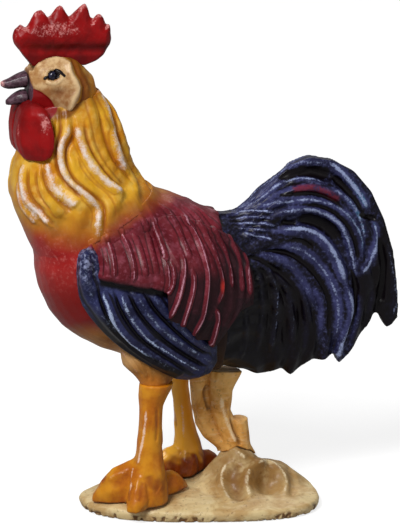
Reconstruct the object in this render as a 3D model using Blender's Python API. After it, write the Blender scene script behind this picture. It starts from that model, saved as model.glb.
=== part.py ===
"""Carved and painted wooden rooster figurine on its carved ground."""

import math

import bmesh
import bpy
from mathutils import Vector

# Driving dimensions in millimetres. The tables below them hold the side view, in the same
# units, with the bird looking along -X and the base standing on z = 0.
GLUE_GAP = 0.3
BREAST_WIDTH = 33.4
HEAD_WIDTH = 15.2
THIGH_WIDTH = 10.6
TAIL_WIDTH = 18.0
COMB_THICKNESS = 5.0
COMB_HEIGHT = 15.1
WING_THICKNESS = 3.0
SADDLE_THICKNESS = 2.0
WATTLE_THICKNESS = 4.0
WATTLE_HEIGHT = 14.4
WATTLE_BREADTH = 11.2
EYE_DIAMETER = 2.9
NECK_FLUTE_DEPTH = 1.5
TAIL_FLUTE_DEPTH = 1.2
TAIL_EDGE_THICKNESS = 3.2
TAIL_LEAST_THICKNESS = 1.9
BASE_LENGTH = 59.2
BASE_DEPTH = 37.6
GROUND_HEIGHT = 4.6
MOUND_HEIGHT = 3.9
PEAK_HEIGHT = 5.6
TOE_DIAMETER = 5.2
DOWEL_DIAMETER = 5.0
LEG_DOWEL_DIAMETER = 2.4
HEAD_DOWEL_LENGTH = 9.6
NECK_DOWEL_LENGTH = 16.0
TAIL_DOWEL_LENGTH = 16.0
TAIL_DOWEL_RISE = 3.0
LEG_DOWEL_LENGTH = 12.0
STUMP_DOWEL_LENGTH = 12.8
EYE_DEPTH = 2.0
EYE_SINK = 0.3
EYE_TILT = 0.24
SPUR_LENGTH = 6.4
SPUR_DIAMETER = 2.6

MM = 0.001
LEFT = -1
RIGHT = 1

# Trunk sections, from the throat to the tail root. Each row is a station, the front or lower
# edge (x, z), the rear or upper edge (x, z), and the width as a share of the breast's.
TRUNK = (
    (0.0, -43.9, 104.5, -26.2, 108.1, 0.46),
    (1.0, -45.2, 97.5, -21.8, 102.0, 0.60),
    (2.0, -47.4, 90.0, -19.3, 95.0, 0.72),
    (3.0, -48.4, 83.0, -17.8, 88.8, 0.83),
    (4.0, -46.4, 76.0, -15.5, 85.6, 0.90),
    (5.0, -43.3, 68.0, -13.3, 83.7, 0.96),
    (6.0, -41.9, 59.3, -11.8, 82.3, 0.99),
    (7.0, -37.8, 50.5, -9.5, 81.1, 1.00),
    (8.0, -30.4, 44.4, -7.2, 80.1, 0.99),
    (9.0, -20.8, 40.2, -4.1, 78.6, 0.95),
    (10.0, -10.2, 36.6, -1.0, 77.1, 0.87),
    (11.0, 0.5, 34.6, 1.8, 75.6, 0.75),
    (12.0, 11.2, 33.5, 4.7, 74.2, 0.63),
    (13.0, 24.5, 33.0, 9.2, 76.5, 0.57),
)
TRUNK_ROUNDNESS = 2.2
HACKLE_TOP = 0.0
HACKLE_END = 5.0
TAIL_ROOT = 11.2

# Tail feathers as (x, z) points after the root, from the lowest feather to the outer sickle, and
# where each one's root lies on the seam, as a share of its height.
TAIL_FEATHERS = (
    (0.00, ((3.8, 36.3), (5.0, 35.8), (6.4, 35.2), (7.8, 34.7), (9.2, 34.2))),
    (0.25, ((8.2, 50.6), (13.0, 51.4), (18.0, 49.4), (21.3, 44.2), (22.5, 38.2))),
    (0.50, ((8.0, 60.8), (14.4, 62.8), (22.8, 61.4), (29.1, 54.0), (31.7, 44.4))),
    (0.75, ((8.0, 69.4), (15.4, 74.0), (26.4, 77.4), (37.1, 70.5), (42.4, 55.4))),
    (1.00, ((9.2, 75.1), (16.8, 81.5), (27.3, 87.5), (40.5, 81.6), (48.6, 65.0))),
)
TAIL_ROOT_SHARES = (
    (0.00, 0.04),
    (0.25, 0.38),
    (0.50, 0.64),
    (0.75, 0.84),
    (1.00, 0.99),
)
TAIL_TIPS = (
    (0.00, 10.4, 33.8),
    (0.10, 14.8, 32.2),
    (0.20, 19.9, 33.2),
    (0.30, 22.9, 31.5),
    (0.40, 27.4, 34.7),
    (0.50, 31.3, 34.6),
    (0.58, 34.3, 35.9),
    (0.66, 35.8, 33.4),
    (0.80, 41.9, 41.5),
    (0.90, 45.4, 45.9),
    (0.96, 48.3, 41.7),
    (1.00, 51.0, 44.4),
)
TAIL_FLUTES = 9
TAIL_BED_END = 13.0
TAIL_CORE_SHARE = 0.38
TAIL_TIP_SHARE = 0.35
TAIL_RIM_SHARE = 0.22
TAIL_CORE_POWER = 1.2
TAIL_TIP_REACH = 0.12
TAIL_FLUTE_START = 0.2
TAIL_FLUTE_RIM = 0.08

# Deep gouge hollows below the upper sickles: place across and along the tail, reach both ways
# and depth.
TAIL_HOLLOWS = (
    (0.91, 0.51, 0.055, 0.17, 0.9),
    (0.67, 0.57, 0.06, 0.15, 1.1),
)

# Saddle feathers, from the front feather to the rear one.
SADDLE_FEATHERS = (
    (0.00, ((-16.6, 76.6), (-15.6, 72.6), (-14.1, 68.0), (-13.4, 64.0))),
    (0.33, ((-12.3, 77.8), (-8.2, 72.6), (-4.2, 66.0), (-2.9, 57.5))),
    (0.66, ((-5.7, 76.0), (-0.6, 71.0), (4.0, 64.2), (5.0, 54.5))),
    (1.00, ((-0.1, 73.4), (4.5, 70.6), (8.1, 65.8), (9.9, 60.0))),
)
SADDLE_TIPS = (
    (0.00, -14.2, 59.5),
    (0.12, -13.4, 53.4),
    (0.22, -10.3, 51.8),
    (0.33, -6.7, 48.4),
    (0.45, -6.1, 47.0),
    (0.55, -2.6, 46.4),
    (0.66, -0.8, 43.8),
    (0.78, 4.0, 50.0),
    (0.88, 6.6, 52.6),
    (1.00, 9.6, 53.6),
)
SADDLE_FLUTES = 6
SADDLE_BORDER = (0.1, 0.15, 0.12)
SADDLE_RIM_SHARE = 0.35
SADDLE_VALLEY_SHARE = 0.55

# Wing outline: the leading and lower edge, and the upper edge that the saddle covers.
WING_LOWER = (
    (0.00, -34.4, 71.4),
    (0.05, -35.2, 70.4),
    (0.11, -35.6, 68.0),
    (0.20, -35.5, 63.5),
    (0.32, -34.3, 57.6),
    (0.46, -29.8, 51.0),
    (0.60, -23.9, 44.9),
    (0.74, -16.3, 39.9),
    (0.88, -7.9, 35.6),
    (1.00, -1.2, 36.6),
)
WING_UPPER = (
    (0.00, -32.2, 72.0),
    (0.06, -31.0, 73.6),
    (0.16, -27.8, 76.8),
    (0.35, -20.2, 76.8),
    (0.55, -12.0, 70.0),
    (0.75, -5.5, 59.0),
    (0.90, -0.2, 47.0),
    (1.00, 0.9, 39.4),
)
PRIMARY_FLUTES = 4
PRIMARY_SHARE = 0.56
PRIMARY_RIDGE_SHARE = 0.26
SHOULDER_EDGE = 1.6
WING_BORDER = (0.12, 0.06)
WING_RIM_SHARE = 0.45

# The wing's bed on the flank: its least half width, less at the rear, and how the wing thins
# towards the back, where the saddle covers it, and towards its rear.
WING_BED = 11.0
WING_BED_TAPER = 3.0
WING_BED_START = -4.0
WING_REACH = 12.0
WING_THIN_HEIGHT = 64.0
WING_THIN_RISE = 14.0
WING_THIN_TOP = 0.62
WING_THIN_START = -8.0
WING_THIN_REAR = 0.7

# Coverts: the layer over the upper wing, with its scalloped lower edge.
COVERTS_TOP = (
    (0.00, -32.1, 73.4),
    (0.35, -25.2, 76.6),
    (0.70, -16.8, 74.4),
    (1.00, -11.0, 69.6),
)
COVERTS_BOTTOM = (
    (0.00, -32.2, 64.6),
    (0.35, -26.0, 62.6),
    (0.70, -19.2, 61.2),
    (1.00, -12.6, 60.2),
)
COVERTS_FRONT = -33.6
COVERTS_FLOOR = 58.6
COVERTS_SHARE = 0.56
COVERTS_STEP = 1.4
COVERTS_SCALLOP = 0.06
COVERTS_FEATHERS = 4
COVERTS_BORDER = (0.08, 0.15, 0.1)
COVERTS_RIM_SHARE = 0.5
COVERTS_VALLEY_SHARE = 0.6

# Comb outline: its lower edge in the head's groove, and its upper edge with six points as
# places along the head and shares of the comb's height above its foot.
COMB_LOWER = (
    (0.00, -42.9, 114.1),
    (0.50, -36.4, 114.1),
    (1.00, -29.9, 113.7),
)
COMB_UPPER = (
    (0.00, -43.4, 0.07),
    (0.04, -44.9, 0.19),
    (0.08, -46.5, 0.32),
    (0.12, -47.2, 0.49),
    (0.14, -46.9, 0.62),
    (0.16, -45.4, 0.71),
    (0.18, -44.6, 0.68),
    (0.20, -44.1, 0.65),
    (0.22, -43.4, 0.71),
    (0.26, -42.0, 0.88),
    (0.30, -40.2, 0.93),
    (0.32, -39.3, 0.87),
    (0.34, -38.7, 0.80),
    (0.36, -38.0, 0.83),
    (0.40, -36.6, 0.95),
    (0.44, -35.1, 0.98),
    (0.46, -34.3, 0.88),
    (0.48, -33.4, 0.79),
    (0.50, -32.7, 0.83),
    (0.54, -31.0, 0.94),
    (0.58, -29.3, 1.00),
    (0.60, -28.7, 0.92),
    (0.62, -28.2, 0.78),
    (0.64, -27.4, 0.75),
    (0.66, -26.6, 0.80),
    (0.70, -25.7, 0.82),
    (0.72, -24.9, 0.75),
    (0.74, -24.4, 0.64),
    (0.78, -23.3, 0.64),
    (0.82, -23.4, 0.50),
    (0.88, -23.5, 0.33),
    (0.92, -24.7, 0.17),
    (0.96, -27.0, 0.07),
    (1.00, -29.4, 0.01),
)
COMB_GROOVE_FLOOR = 113.3
COMB_GROOVE_BEYOND = 16.0
COMB_FOOT = 113.6
COMB_ROW_POWER = 1.4

# Comb's thickness by height, both as shares: an undercut above the foot, the thick roll over it,
# and the thin points. Its rim is rounded over a reach, down to a share of the thickness.
COMB_SWELL = (
    (0.00, 0.88),
    (0.17, 0.84),
    (0.27, 0.76),
    (0.38, 0.96),
    (0.52, 1.00),
    (0.73, 0.84),
    (1.00, 0.60),
)
COMB_RIM_REACH = 2.6
COMB_RIM_SHARE = 0.3

# Head sections along x: centre height, half height and share of the head's width.
HEAD = (
    (-43.9, 108.4, 4.9, 0.55),
    (-42.4, 109.0, 6.2, 0.71),
    (-39.9, 109.3, 7.2, 0.88),
    (-36.8, 109.4, 7.6, 0.97),
    (-33.7, 109.2, 7.6, 1.00),
    (-31.6, 108.4, 7.0, 0.95),
    (-29.1, 107.2, 5.0, 0.74),
    (-27.7, 107.2, 3.5, 0.45),
    (-27.3, 107.2, 1.2, 0.16),
)
EYE_PLACE = (-38.8, 112.3)
HEAD_SIDE_START = 0.3
HEAD_SIDE_REACH = 0.4
EYE_HOLLOW = 0.5
EYE_HOLLOW_REACH = 3.0
EYE_POLE = 0.06
EAR_LOBE_PLACE = (-34.6, 106.6)
EAR_LOBE_REACH = (3.0, 4.6)
EAR_LOBE_SWELL = 1.1

# Beak sections along x: centre height, half height and half width.
UPPER_BEAK = (
    (-44.3, 110.9, 2.1, 3.0),
    (-46.1, 110.6, 1.8, 2.4),
    (-48.5, 110.0, 1.35, 1.6),
    (-50.0, 109.9, 0.9, 0.9),
    (-50.5, 110.0, 0.45, 0.45),
)
LOWER_BEAK = (
    (-44.3, 106.6, 1.8, 2.5),
    (-46.0, 106.5, 1.75, 2.2),
    (-47.2, 106.1, 1.5, 1.7),
    (-48.5, 105.6, 1.0, 1.1),
    (-49.3, 105.4, 0.6, 0.6),
)

# Wattle: the trunk station beside its middle, its place round the neck and how far it sinks in.
WATTLE_STATION = 0.95
WATTLE_PLACE = math.radians(39.0)
WATTLE_LIFT = 0.7
WATTLE_SINK = 0.6
WATTLE_CLEARANCE = 0.45
WATTLE_DROP = 0.16
WATTLE_POLE = 0.03
WATTLE_FULLNESS = 0.7

# Legs: the shank's axis at its top and at the ankle, and the toe ends, for each leg.
LEG_TOP = 34.0
THIGH_TOP = 47.0
THIGH_TAPER = 6.5
THIGH_LIP = 0.5
THIGH_TUCK = 0.12
LEFT_LEG = {
    "side": LEFT,
    "shank_diameter": 5.8,
    "ankle_rise": 4.4,
    "thigh_length": 18.4,
    "thigh_lean": 0.4,
    "top_bend": 1.0,
    "top": (-15.4, -8.8),
    "ankle": (-17.0, -9.4),
    "toes": ((-29.6, -3.5), (-22.4, -15.4), (-5.6, -3.4), (-19.8, -1.2)),
}
RIGHT_LEG = {
    "side": RIGHT,
    "shank_diameter": 4.6,
    "ankle_rise": 3.0,
    "thigh_length": 15.0,
    "thigh_lean": -2.4,
    "top_bend": 0.0,
    "top": (-4.5, 8.6),
    "ankle": (-0.9, 8.8),
    "toes": ((-12.2, 6.4), (-6.2, 13.2), (7.6, 10.8), (-4.2, 2.4)),
}
HEEL = 0.5
HEEL_SHARE = 0.06
HEEL_TENT = 0.65
TENT_POWER = 0.75
TENT_FULLNESS = 0.5
TOE_SEAT = 0.45
TOE_START_SHARE = 1.1
TOE_END_TAPER = 0.55
TOE_TAPER_POWER = 5
TOE_KNUCKLE = 0.1
TOE_KNUCKLE_WAVES = 1.5
TOE_KNUCKLE_START = 1.0
SHANK_STATIONS = 12
SHANK_FORM = (
    (0.00, 1.55),
    (0.10, 1.27),
    (0.17, 1.07),
    (0.38, 1.03),
    (0.52, 1.10),
    (0.67, 1.36),
    (0.80, 1.70),
    (1.00, 1.90),
)
SHANK_BEND_END = 0.2
SPUR_PLACE = (0.36, 0.34)
SPUR_FORM = ((0.0, 0.45), (0.3, 0.85), (0.75, 1.0), (1.0, 0.55))

# Stump limbs: centre (x, y, z), half breadth and half depth, from the ground up.
STUMP_MAIN = (
    (0.0, 10.4, 1.2, 4.0, 7.4, 5.6),
    (0.3, 8.6, 1.0, 13.0, 4.2, 4.2),
    (0.6, 5.6, 0.6, 20.0, 3.0, 3.2),
    (0.8, 4.2, 0.2, 26.0, 2.8, 2.9),
    (1.0, 6.2, 0.0, 34.8, 4.8, 3.3),
)
STUMP_BRANCH = (
    (0.0, 9.4, 1.8, 5.0, 3.6, 3.2),
    (0.3, 6.7, 1.8, 13.0, 3.0, 2.8),
    (0.5, 2.0, 1.7, 17.6, 2.9, 2.6),
    (0.75, -0.1, 1.5, 25.0, 2.5, 2.4),
    (1.0, -1.2, 1.4, 35.2, 2.4, 2.4),
)
STUMP_STUB = (
    (0.0, 10.2, 0.4, 3.0, 5.0, 3.6),
    (0.5, 9.4, 0.0, 13.0, 3.0, 3.0),
    (1.0, 9.3, -0.2, 20.8, 2.3, 2.5),
)
STUMP_CLEARANCE = 0.5

# Ground: outline of the base, then the rock mound and its peak, each with its middle, its reach
# and its level share, and the hollows cut by a gouge.
BASE_CENTRE_X = -1.8
BASE_FRONT_CORNER = 2.8
BASE_BACK_CORNER = 1.65
BASE_BULGE = 1.012
BASE_BULGE_SHARE = 0.55
BASE_FOOT = 0.99
BASE_SKEW = 0.1
BASE_TAPER = 0.2
BASE_EDGE_DROP = 1.7
MOUND = (14.3, 0.4, 13.8, 12.0, 0.5)
PEAK = (7.0, -1.5, 11.0, 12.0, 0.15)
HOLLOWS = (
    (14.4, -9.4, 4.9, 4.6, 1.9),
    (4.6, -8.6, 2.4, 5.6, 1.5),
    (21.6, -9.0, 2.6, 6.5, 0.9),
)

# Mesh fineness, as counts.
TRUNK_SIDES = 32
NECK_SIDES = 84
GROUND_SIDES = 48
GROUND_SHARES = (0.02, 0.18, 0.33, 0.47, 0.6, 0.73, 0.86, 1.0)
NECK_FLUTES = 12
NECK_FLUTE_FADE = 0.7
NECK_THROAT_FADE = 1.6
NECK_THROAT_TURN = 0.4
NECK_WAVE = 0.28
NECK_WAVE_RATE = 1.35
NECK_WAVE_DRIFT = 0.1


def curve_at(table, station):
    """Row of a station table at any station, on a smooth curve through its rows."""
    last = len(table) - 1
    station = min(max(station, table[0][0]), table[last][0])
    index = 0
    while index < last - 1 and table[index + 1][0] < station:
        index += 1
    before = table[max(index - 1, 0)]
    start = table[index]
    end = table[index + 1]
    after = table[min(index + 2, last)]
    span = end[0] - start[0]
    part = (station - start[0]) / span
    square = part * part
    cube = square * part
    row = []
    for column in range(1, len(start)):
        leave = (end[column] - before[column]) / (end[0] - before[0]) * span
        arrive = (after[column] - start[column]) / (after[0] - start[0]) * span
        value = (2 * cube - 3 * square + 1) * start[column]
        value += (cube - 2 * square + part) * leave
        value += (3 * square - 2 * cube) * end[column]
        value += (cube - square) * arrive
        row.append(value)
    return row


def ease(value):
    """Smooth step from 0 to 1."""
    value = min(max(value, 0.0), 1.0)
    return value * value * (3.0 - 2.0 * value)


def feather_point(feathers, tips, across, along):
    """Point (x, z) of a sheaf of feathers, with its scalloped row of tips at along = 1."""
    count = len(feathers[0][1])
    route = []
    for step in range(count):
        column = tuple((row[0], row[1][step][0], row[1][step][1]) for row in feathers)
        route.append((step / count, *curve_at(column, across)))
    route.append((1.0, *curve_at(tips, across)))
    return curve_at(tuple(route), along)


def tail_point(across, along):
    """Point (x, z) of the tail's side view, with its roots on the seam's plane."""
    front_x, front_z, rear_x, rear_z, _width = trunk_section(TAIL_ROOT)
    share = curve_at(TAIL_ROOT_SHARES, across)[0]
    seam = plane_normal(TAIL_ROOT) * GLUE_GAP
    root_x = front_x + (rear_x - front_x) * share + seam.x
    root_z = front_z + (rear_z - front_z) * share + seam.z
    count = len(TAIL_FEATHERS[0][1])
    route = [(0.0, root_x, root_z)]
    for step in range(count):
        column = tuple((row[0], row[1][step][0], row[1][step][1]) for row in TAIL_FEATHERS)
        route.append(((step + 1.0) / (count + 1.0), *curve_at(column, across)))
    route.append((1.0, *curve_at(TAIL_TIPS, across)))
    return curve_at(tuple(route), along)


def rounded(angle, roundness):
    """Cosine and sine of a superellipse."""
    cosine = math.cos(angle)
    sine = math.sin(angle)
    power = 2.0 / roundness
    x = math.copysign(abs(cosine) ** power, cosine)
    y = math.copysign(abs(sine) ** power, sine)
    return x, y


def trunk_section(station):
    """Front edge (x, z), rear edge (x, z) and half width of the trunk at a station."""
    front_x, front_z, rear_x, rear_z, share = curve_at(TRUNK, station)
    return front_x, front_z, rear_x, rear_z, share * BREAST_WIDTH / 2.0


def trunk_side(x, z):
    """Half width of the trunk beside a point (x, z) of its side view."""
    low = TRUNK[0][0]
    high = TRUNK[-1][0]
    for _ in range(26):
        middle = (low + high) / 2.0
        front_x, front_z, rear_x, rear_z, _width = trunk_section(middle)
        turn = (rear_x - front_x) * (z - front_z) - (rear_z - front_z) * (x - front_x)
        if turn > 0.0:
            high = middle
        else:
            low = middle
    front_x, front_z, rear_x, rear_z, width = trunk_section(low)
    length = math.hypot(rear_x - front_x, rear_z - front_z)
    along = ((x - front_x) * (rear_x - front_x) + (z - front_z) * (rear_z - front_z)) / length
    offset = min(abs(2.0 * along / length - 1.0), 1.0)
    return width * (1.0 - offset ** TRUNK_ROUNDNESS) ** (1.0 / TRUNK_ROUNDNESS)


def thigh_section(leg, z):
    """Centre and half sizes of a thigh at a height, from the shank's size to its own."""
    rise = ease((z - LEG_TOP) / (THIGH_TOP - LEG_TOP))
    swell = ease((z - LEG_TOP) / THIGH_TAPER)
    shank = leg["shank_diameter"] / 2.0 * SHANK_FORM[0][1] + THIGH_LIP
    x = leg["top"][0] + leg["top_bend"] + leg["thigh_lean"] * rise
    y = leg["top"][1] * (1.0 - THIGH_TUCK * rise)
    half_length = shank + (leg["thigh_length"] / 2.0 - shank) * swell
    half_width = shank + (THIGH_WIDTH / 2.0 - shank) * swell
    return x, y, half_length, half_width


def thigh_side(leg, x, z):
    """How far a thigh reaches sideways at a point of the side view."""
    centre_x, centre_y, half_length, half_width = thigh_section(leg, z)
    offset = abs(x - centre_x) / half_length
    if offset >= 1.0:
        return 0.0
    return abs(centre_y) + half_width * math.sqrt(1.0 - offset * offset)


def flank(leg, x, z):
    """Sideways reach of the trunk and the thigh together, never less than the wing's bed."""
    wing_bed = WING_BED - WING_BED_TAPER * ease((x - WING_BED_START) / WING_REACH)
    return max(trunk_side(x, z), thigh_side(leg, x, z), wing_bed)


def wing_cover(x, z):
    """Thickness of the wing and its coverts at a point, thin where the saddle covers them."""
    upper = ease((z - WING_THIN_HEIGHT) / WING_THIN_RISE)
    rear = ease((x - WING_THIN_START) / WING_REACH)
    return WING_THICKNESS * (1.0 - WING_THIN_TOP * upper) * (1.0 - WING_THIN_REAR * rear)


def under_coverts(x, z):
    """1 where the wing lies under its coverts, 0 at the shoulder and along the primaries."""
    return ease((x - COVERTS_FRONT) / COVERTS_STEP) * ease((z - COVERTS_FLOOR) / COVERTS_STEP)


def ground_height(x, y):
    """Height of the carved ground under a point."""
    radius = base_reach(x, y)
    height = GROUND_HEIGHT - BASE_EDGE_DROP * min(radius, 1.0) ** 4
    for form, rise in ((MOUND, MOUND_HEIGHT), (PEAK, PEAK_HEIGHT)):
        centre_x, centre_y, reach_x, reach_y, plateau = form
        away = math.hypot((x - centre_x) / reach_x, (y - centre_y) / reach_y)
        height += rise * (1.0 - ease((away - plateau) / (1.0 - plateau)))
    for centre_x, centre_y, reach_x, reach_y, depth in HOLLOWS:
        away = math.hypot((x - centre_x) / reach_x, (y - centre_y) / reach_y)
        height -= depth * (1.0 - ease(away))
    return height


def base_half_depth(x):
    """Half depth of the base, narrower under the bird's front toes."""
    return BASE_DEPTH / 2.0 * (1.0 + BASE_TAPER * (x - BASE_CENTRE_X) / (BASE_LENGTH / 2.0))


def base_reach(x, y):
    """Distance from the base's middle as a share of the way to its edge."""
    share_x = abs(x - BASE_CENTRE_X) / (BASE_LENGTH / 2.0)
    share_y = (y + BASE_SKEW * (x - BASE_CENTRE_X)) / base_half_depth(x)
    corner = BASE_FRONT_CORNER if share_y < 0.0 else BASE_BACK_CORNER
    return (share_x ** corner + abs(share_y) ** corner) ** (1.0 / corner)


def make_material(name, colour, roughness):
    material = bpy.data.materials.new(name)
    material.use_nodes = True
    shader = material.node_tree.nodes["Principled BSDF"]
    shader.inputs["Base Color"].default_value = (*colour, 1.0)
    shader.inputs["Roughness"].default_value = roughness
    shader.inputs["Metallic"].default_value = 0.0
    return material


def make_object(name, points, faces):
    """Object from points in millimetres, with its faces turned outwards."""
    mesh = bpy.data.meshes.new(name)
    scaled = [(x * MM, y * MM, z * MM) for x, y, z in points]
    mesh.from_pydata(scaled, [], faces)
    work = bmesh.new()
    work.from_mesh(mesh)
    bmesh.ops.recalc_face_normals(work, faces=work.faces)
    work.to_mesh(mesh)
    work.free()
    thing = bpy.data.objects.new(name, mesh)
    bpy.context.scene.collection.objects.link(thing)
    return thing


def make_tube(name, rings):
    """Closed solid through a row of rings with the same number of points."""
    sides = len(rings[0])
    points = [point for ring in rings for point in ring]
    faces = []
    for row in range(len(rings) - 1):
        for side in range(sides):
            nearer = row * sides
            further = nearer + sides
            after = (side + 1) % sides
            faces.append((nearer + side, nearer + after, further + after, further + side))
    last = (len(rings) - 1) * sides
    faces.append(tuple(range(sides)))
    faces.append(tuple(last + side for side in reversed(range(sides))))
    return make_object(name, points, faces)


def make_slab(name, outer, inner):
    """Closed solid between two grids of points of the same size."""
    rows = len(outer)
    columns = len(outer[0])
    points = [point for row in outer for point in row]
    points += [point for row in inner for point in row]
    below = rows * columns
    faces = []
    for row in range(rows - 1):
        for column in range(columns - 1):
            corner = row * columns + column
            top = (corner, corner + 1, corner + columns + 1, corner + columns)
            faces.append(top)
            faces.append(tuple(below + index for index in reversed(top)))
    border = [column for column in range(columns)]
    border += [row * columns + columns - 1 for row in range(1, rows)]
    border += [(rows - 1) * columns + column for column in reversed(range(columns - 1))]
    border += [row * columns for row in reversed(range(1, rows - 1))]
    for index, corner in enumerate(border):
        after = border[(index + 1) % len(border)]
        faces.append((after, corner, below + corner, below + after))
    return make_object(name, points, faces)


def make_peg(name, start, end, radius, sides=16):
    """Straight round peg between two points."""
    start = Vector(start)
    end = Vector(end)
    axis = (end - start).normalized()
    across = axis.cross(Vector((0.0, 1.0, 0.0)))
    if across.length < 0.1:
        across = axis.cross(Vector((1.0, 0.0, 0.0)))
    across.normalize()
    other = axis.cross(across)
    rings = []
    for centre in (start, end):
        ring = []
        for side in range(sides):
            angle = math.tau * side / sides
            ring.append(tuple(centre + radius * (across * math.cos(angle) + other * math.sin(angle))))
        rings.append(ring)
    return make_tube(name, rings)


def combine(target, tool, operation, folded=False):
    """Apply one Boolean and remove its tool; folded is for a target whose own faces cross."""
    modifier = target.modifiers.new("shape", "BOOLEAN")
    modifier.operation = operation
    modifier.solver = "EXACT"
    modifier.use_self = folded
    modifier.object = tool
    bpy.context.view_layer.objects.active = target
    bpy.ops.object.modifier_apply(modifier=modifier.name)
    bpy.data.objects.remove(tool)


def finish(thing, colour, roughness=0.5):
    """Smooth shading with crisp cut edges, and the piece's own paint."""
    thing.data.materials.clear()
    thing.data.materials.append(make_material(thing.name + "_paint", colour, roughness))
    for polygon in thing.data.polygons:
        polygon.use_smooth = True
        polygon.material_index = 0
    thing.data.set_sharp_from_angle(angle=math.radians(50.0))
    return thing


def trunk_ring(station, sides, flute=None):
    """Ring of the trunk at a station, with its flutes."""
    front_x, front_z, rear_x, rear_z, width = trunk_section(station)
    middle_x = (front_x + rear_x) / 2.0
    middle_z = (front_z + rear_z) / 2.0
    reach_x = (front_x - rear_x) / 2.0
    reach_z = (front_z - rear_z) / 2.0
    reach = math.hypot(reach_x, reach_z)
    ring = []
    for side in range(sides):
        angle = math.tau * side / sides
        forward, sideways = rounded(angle, TRUNK_ROUNDNESS)
        grow = 1.0
        if flute is not None:
            grow += flute(station, angle) / reach
        x = middle_x + reach_x * forward * grow
        z = middle_z + reach_z * forward * grow
        ring.append((x, width * sideways * grow, z))
    return ring


def plane_normal(station):
    """Unit direction along the trunk, from throat to tail, square to a station's plane."""
    front_x, front_z, rear_x, rear_z, _width = trunk_section(station)
    length = math.hypot(rear_x - front_x, rear_z - front_z)
    return Vector(((rear_z - front_z) / length, 0.0, -(rear_x - front_x) / length))


def moved(ring, shift):
    return [tuple(Vector(point) + shift) for point in ring]


def plane_middle(station):
    front_x, front_z, rear_x, rear_z, _width = trunk_section(station)
    return Vector(((front_x + rear_x) / 2.0, 0.0, (front_z + rear_z) / 2.0))


def make_base():
    rings = [base_ring(share, 0.0) for share in GROUND_SHARES]
    edge = rings[-1]
    rings.append([(x * BASE_BULGE, y * BASE_BULGE, z * BASE_BULGE_SHARE) for x, y, z in edge])
    rings.append([(x * BASE_FOOT, y * BASE_FOOT, 0.0) for x, y, _z in edge])
    return make_tube("base", rings)


def base_ring(share, lift):
    """Ring of the ground's top at a share of the way to the edge, fuller at the right front."""
    ring = []
    for side in range(GROUND_SIDES):
        angle = math.tau * side / GROUND_SIDES
        corner = BASE_FRONT_CORNER if math.sin(angle) < 0.0 else BASE_BACK_CORNER
        forward, sideways = rounded(angle, corner)
        x = BASE_CENTRE_X + share * forward * BASE_LENGTH / 2.0
        y = share * sideways * base_half_depth(x) - BASE_SKEW * (x - BASE_CENTRE_X)
        ring.append((x, y, ground_height(x, y) + lift))
    return ring


def make_ground_tool():
    """Solid that fills everything up to the glue gap above the ground."""
    beyond = 1.2
    lowest = -10.0
    rings = [base_ring(share, GLUE_GAP) for share in (*GROUND_SHARES, beyond)]
    rings.append([(x, y, lowest) for x, y, _z in rings[-1]])
    return make_tube("ground_tool", rings)


def make_limb(name, table, rows, sides=12):
    """Upright limb through a table of centres and half sizes."""
    rings = []
    for row in range(rows + 1):
        x, y, z, half_length, half_width = curve_at(table, row / rows)
        ring = []
        for side in range(sides):
            angle = math.tau * side / sides
            ring.append((x + half_length * math.cos(angle), y + half_width * math.sin(angle), z))
        rings.append(ring)
    return make_tube(name, rings)


def make_stump():
    stump = make_limb("stump", STUMP_MAIN, 7, 14)
    combine(stump, make_limb("branch_tool", STUMP_BRANCH, 7), "UNION")
    combine(stump, make_limb("stub_tool", STUMP_STUB, 5), "UNION")
    combine(stump, make_ground_tool(), "DIFFERENCE")
    combine(stump, make_trunk_tool(), "DIFFERENCE")
    return stump


def make_trunk_tool():
    """Solid that fills everything up to a clearance below the belly and the tail root."""
    sides = 28
    rise = 12.0
    rings = []
    for station in (9.0, 10.0, 11.0, 12.0, 13.0):
        front_x, front_z, _rear_x, _rear_z, width = trunk_section(station)
        ring = []
        for side in range(sides):
            angle = math.tau * side / sides
            z = front_z - STUMP_CLEARANCE + rise * (1.0 - math.cos(angle))
            ring.append((front_x, width * math.sin(angle), z))
        rings.append(ring)
    return make_tube("trunk_tool", rings)


def make_toe(name, start, end, ankle_rise):
    """Toe and claw on the ground, from the ankle to its end."""
    sides = 8
    rows = 6
    radius = TOE_DIAMETER / 2.0
    end_x, end_y = end
    length = math.hypot(end_x - start[0], end_y - start[1])
    forward = Vector(((end_x - start[0]) / length, (end_y - start[1]) / length, 0.0))
    across = Vector((-forward.y, forward.x, 0.0))
    heel = HEEL + HEEL_SHARE * length
    tent = ankle_rise * (1.0 - HEEL_TENT * (0.5 + 0.5 * forward.x))
    start_x = start[0] - heel * forward.x
    start_y = start[1] - heel * forward.y
    rings = []
    for row in range(rows + 1):
        part = row / rows
        x = start_x + (end_x - start_x) * part
        y = start_y + (end_y - start_y) * part
        wave = math.sin(part * math.tau * TOE_KNUCKLE_WAVES + TOE_KNUCKLE_START)
        taper = TOE_START_SHARE - TOE_END_TAPER * part ** TOE_TAPER_POWER
        size = radius * taper * (1.0 + TOE_KNUCKLE * wave)
        rise = tent * (1.0 - part) ** TENT_POWER
        high = size * (1.0 + TENT_FULLNESS * rise)
        z = ground_height(x, y) + TOE_SEAT * size + rise
        ring = []
        for side in range(sides):
            angle = math.tau * side / sides
            offset = across * (size * math.cos(angle))
            ring.append((x + offset.x, y + offset.y, z + high * math.sin(angle)))
        rings.append(ring)
    return make_tube(name, rings)


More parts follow.
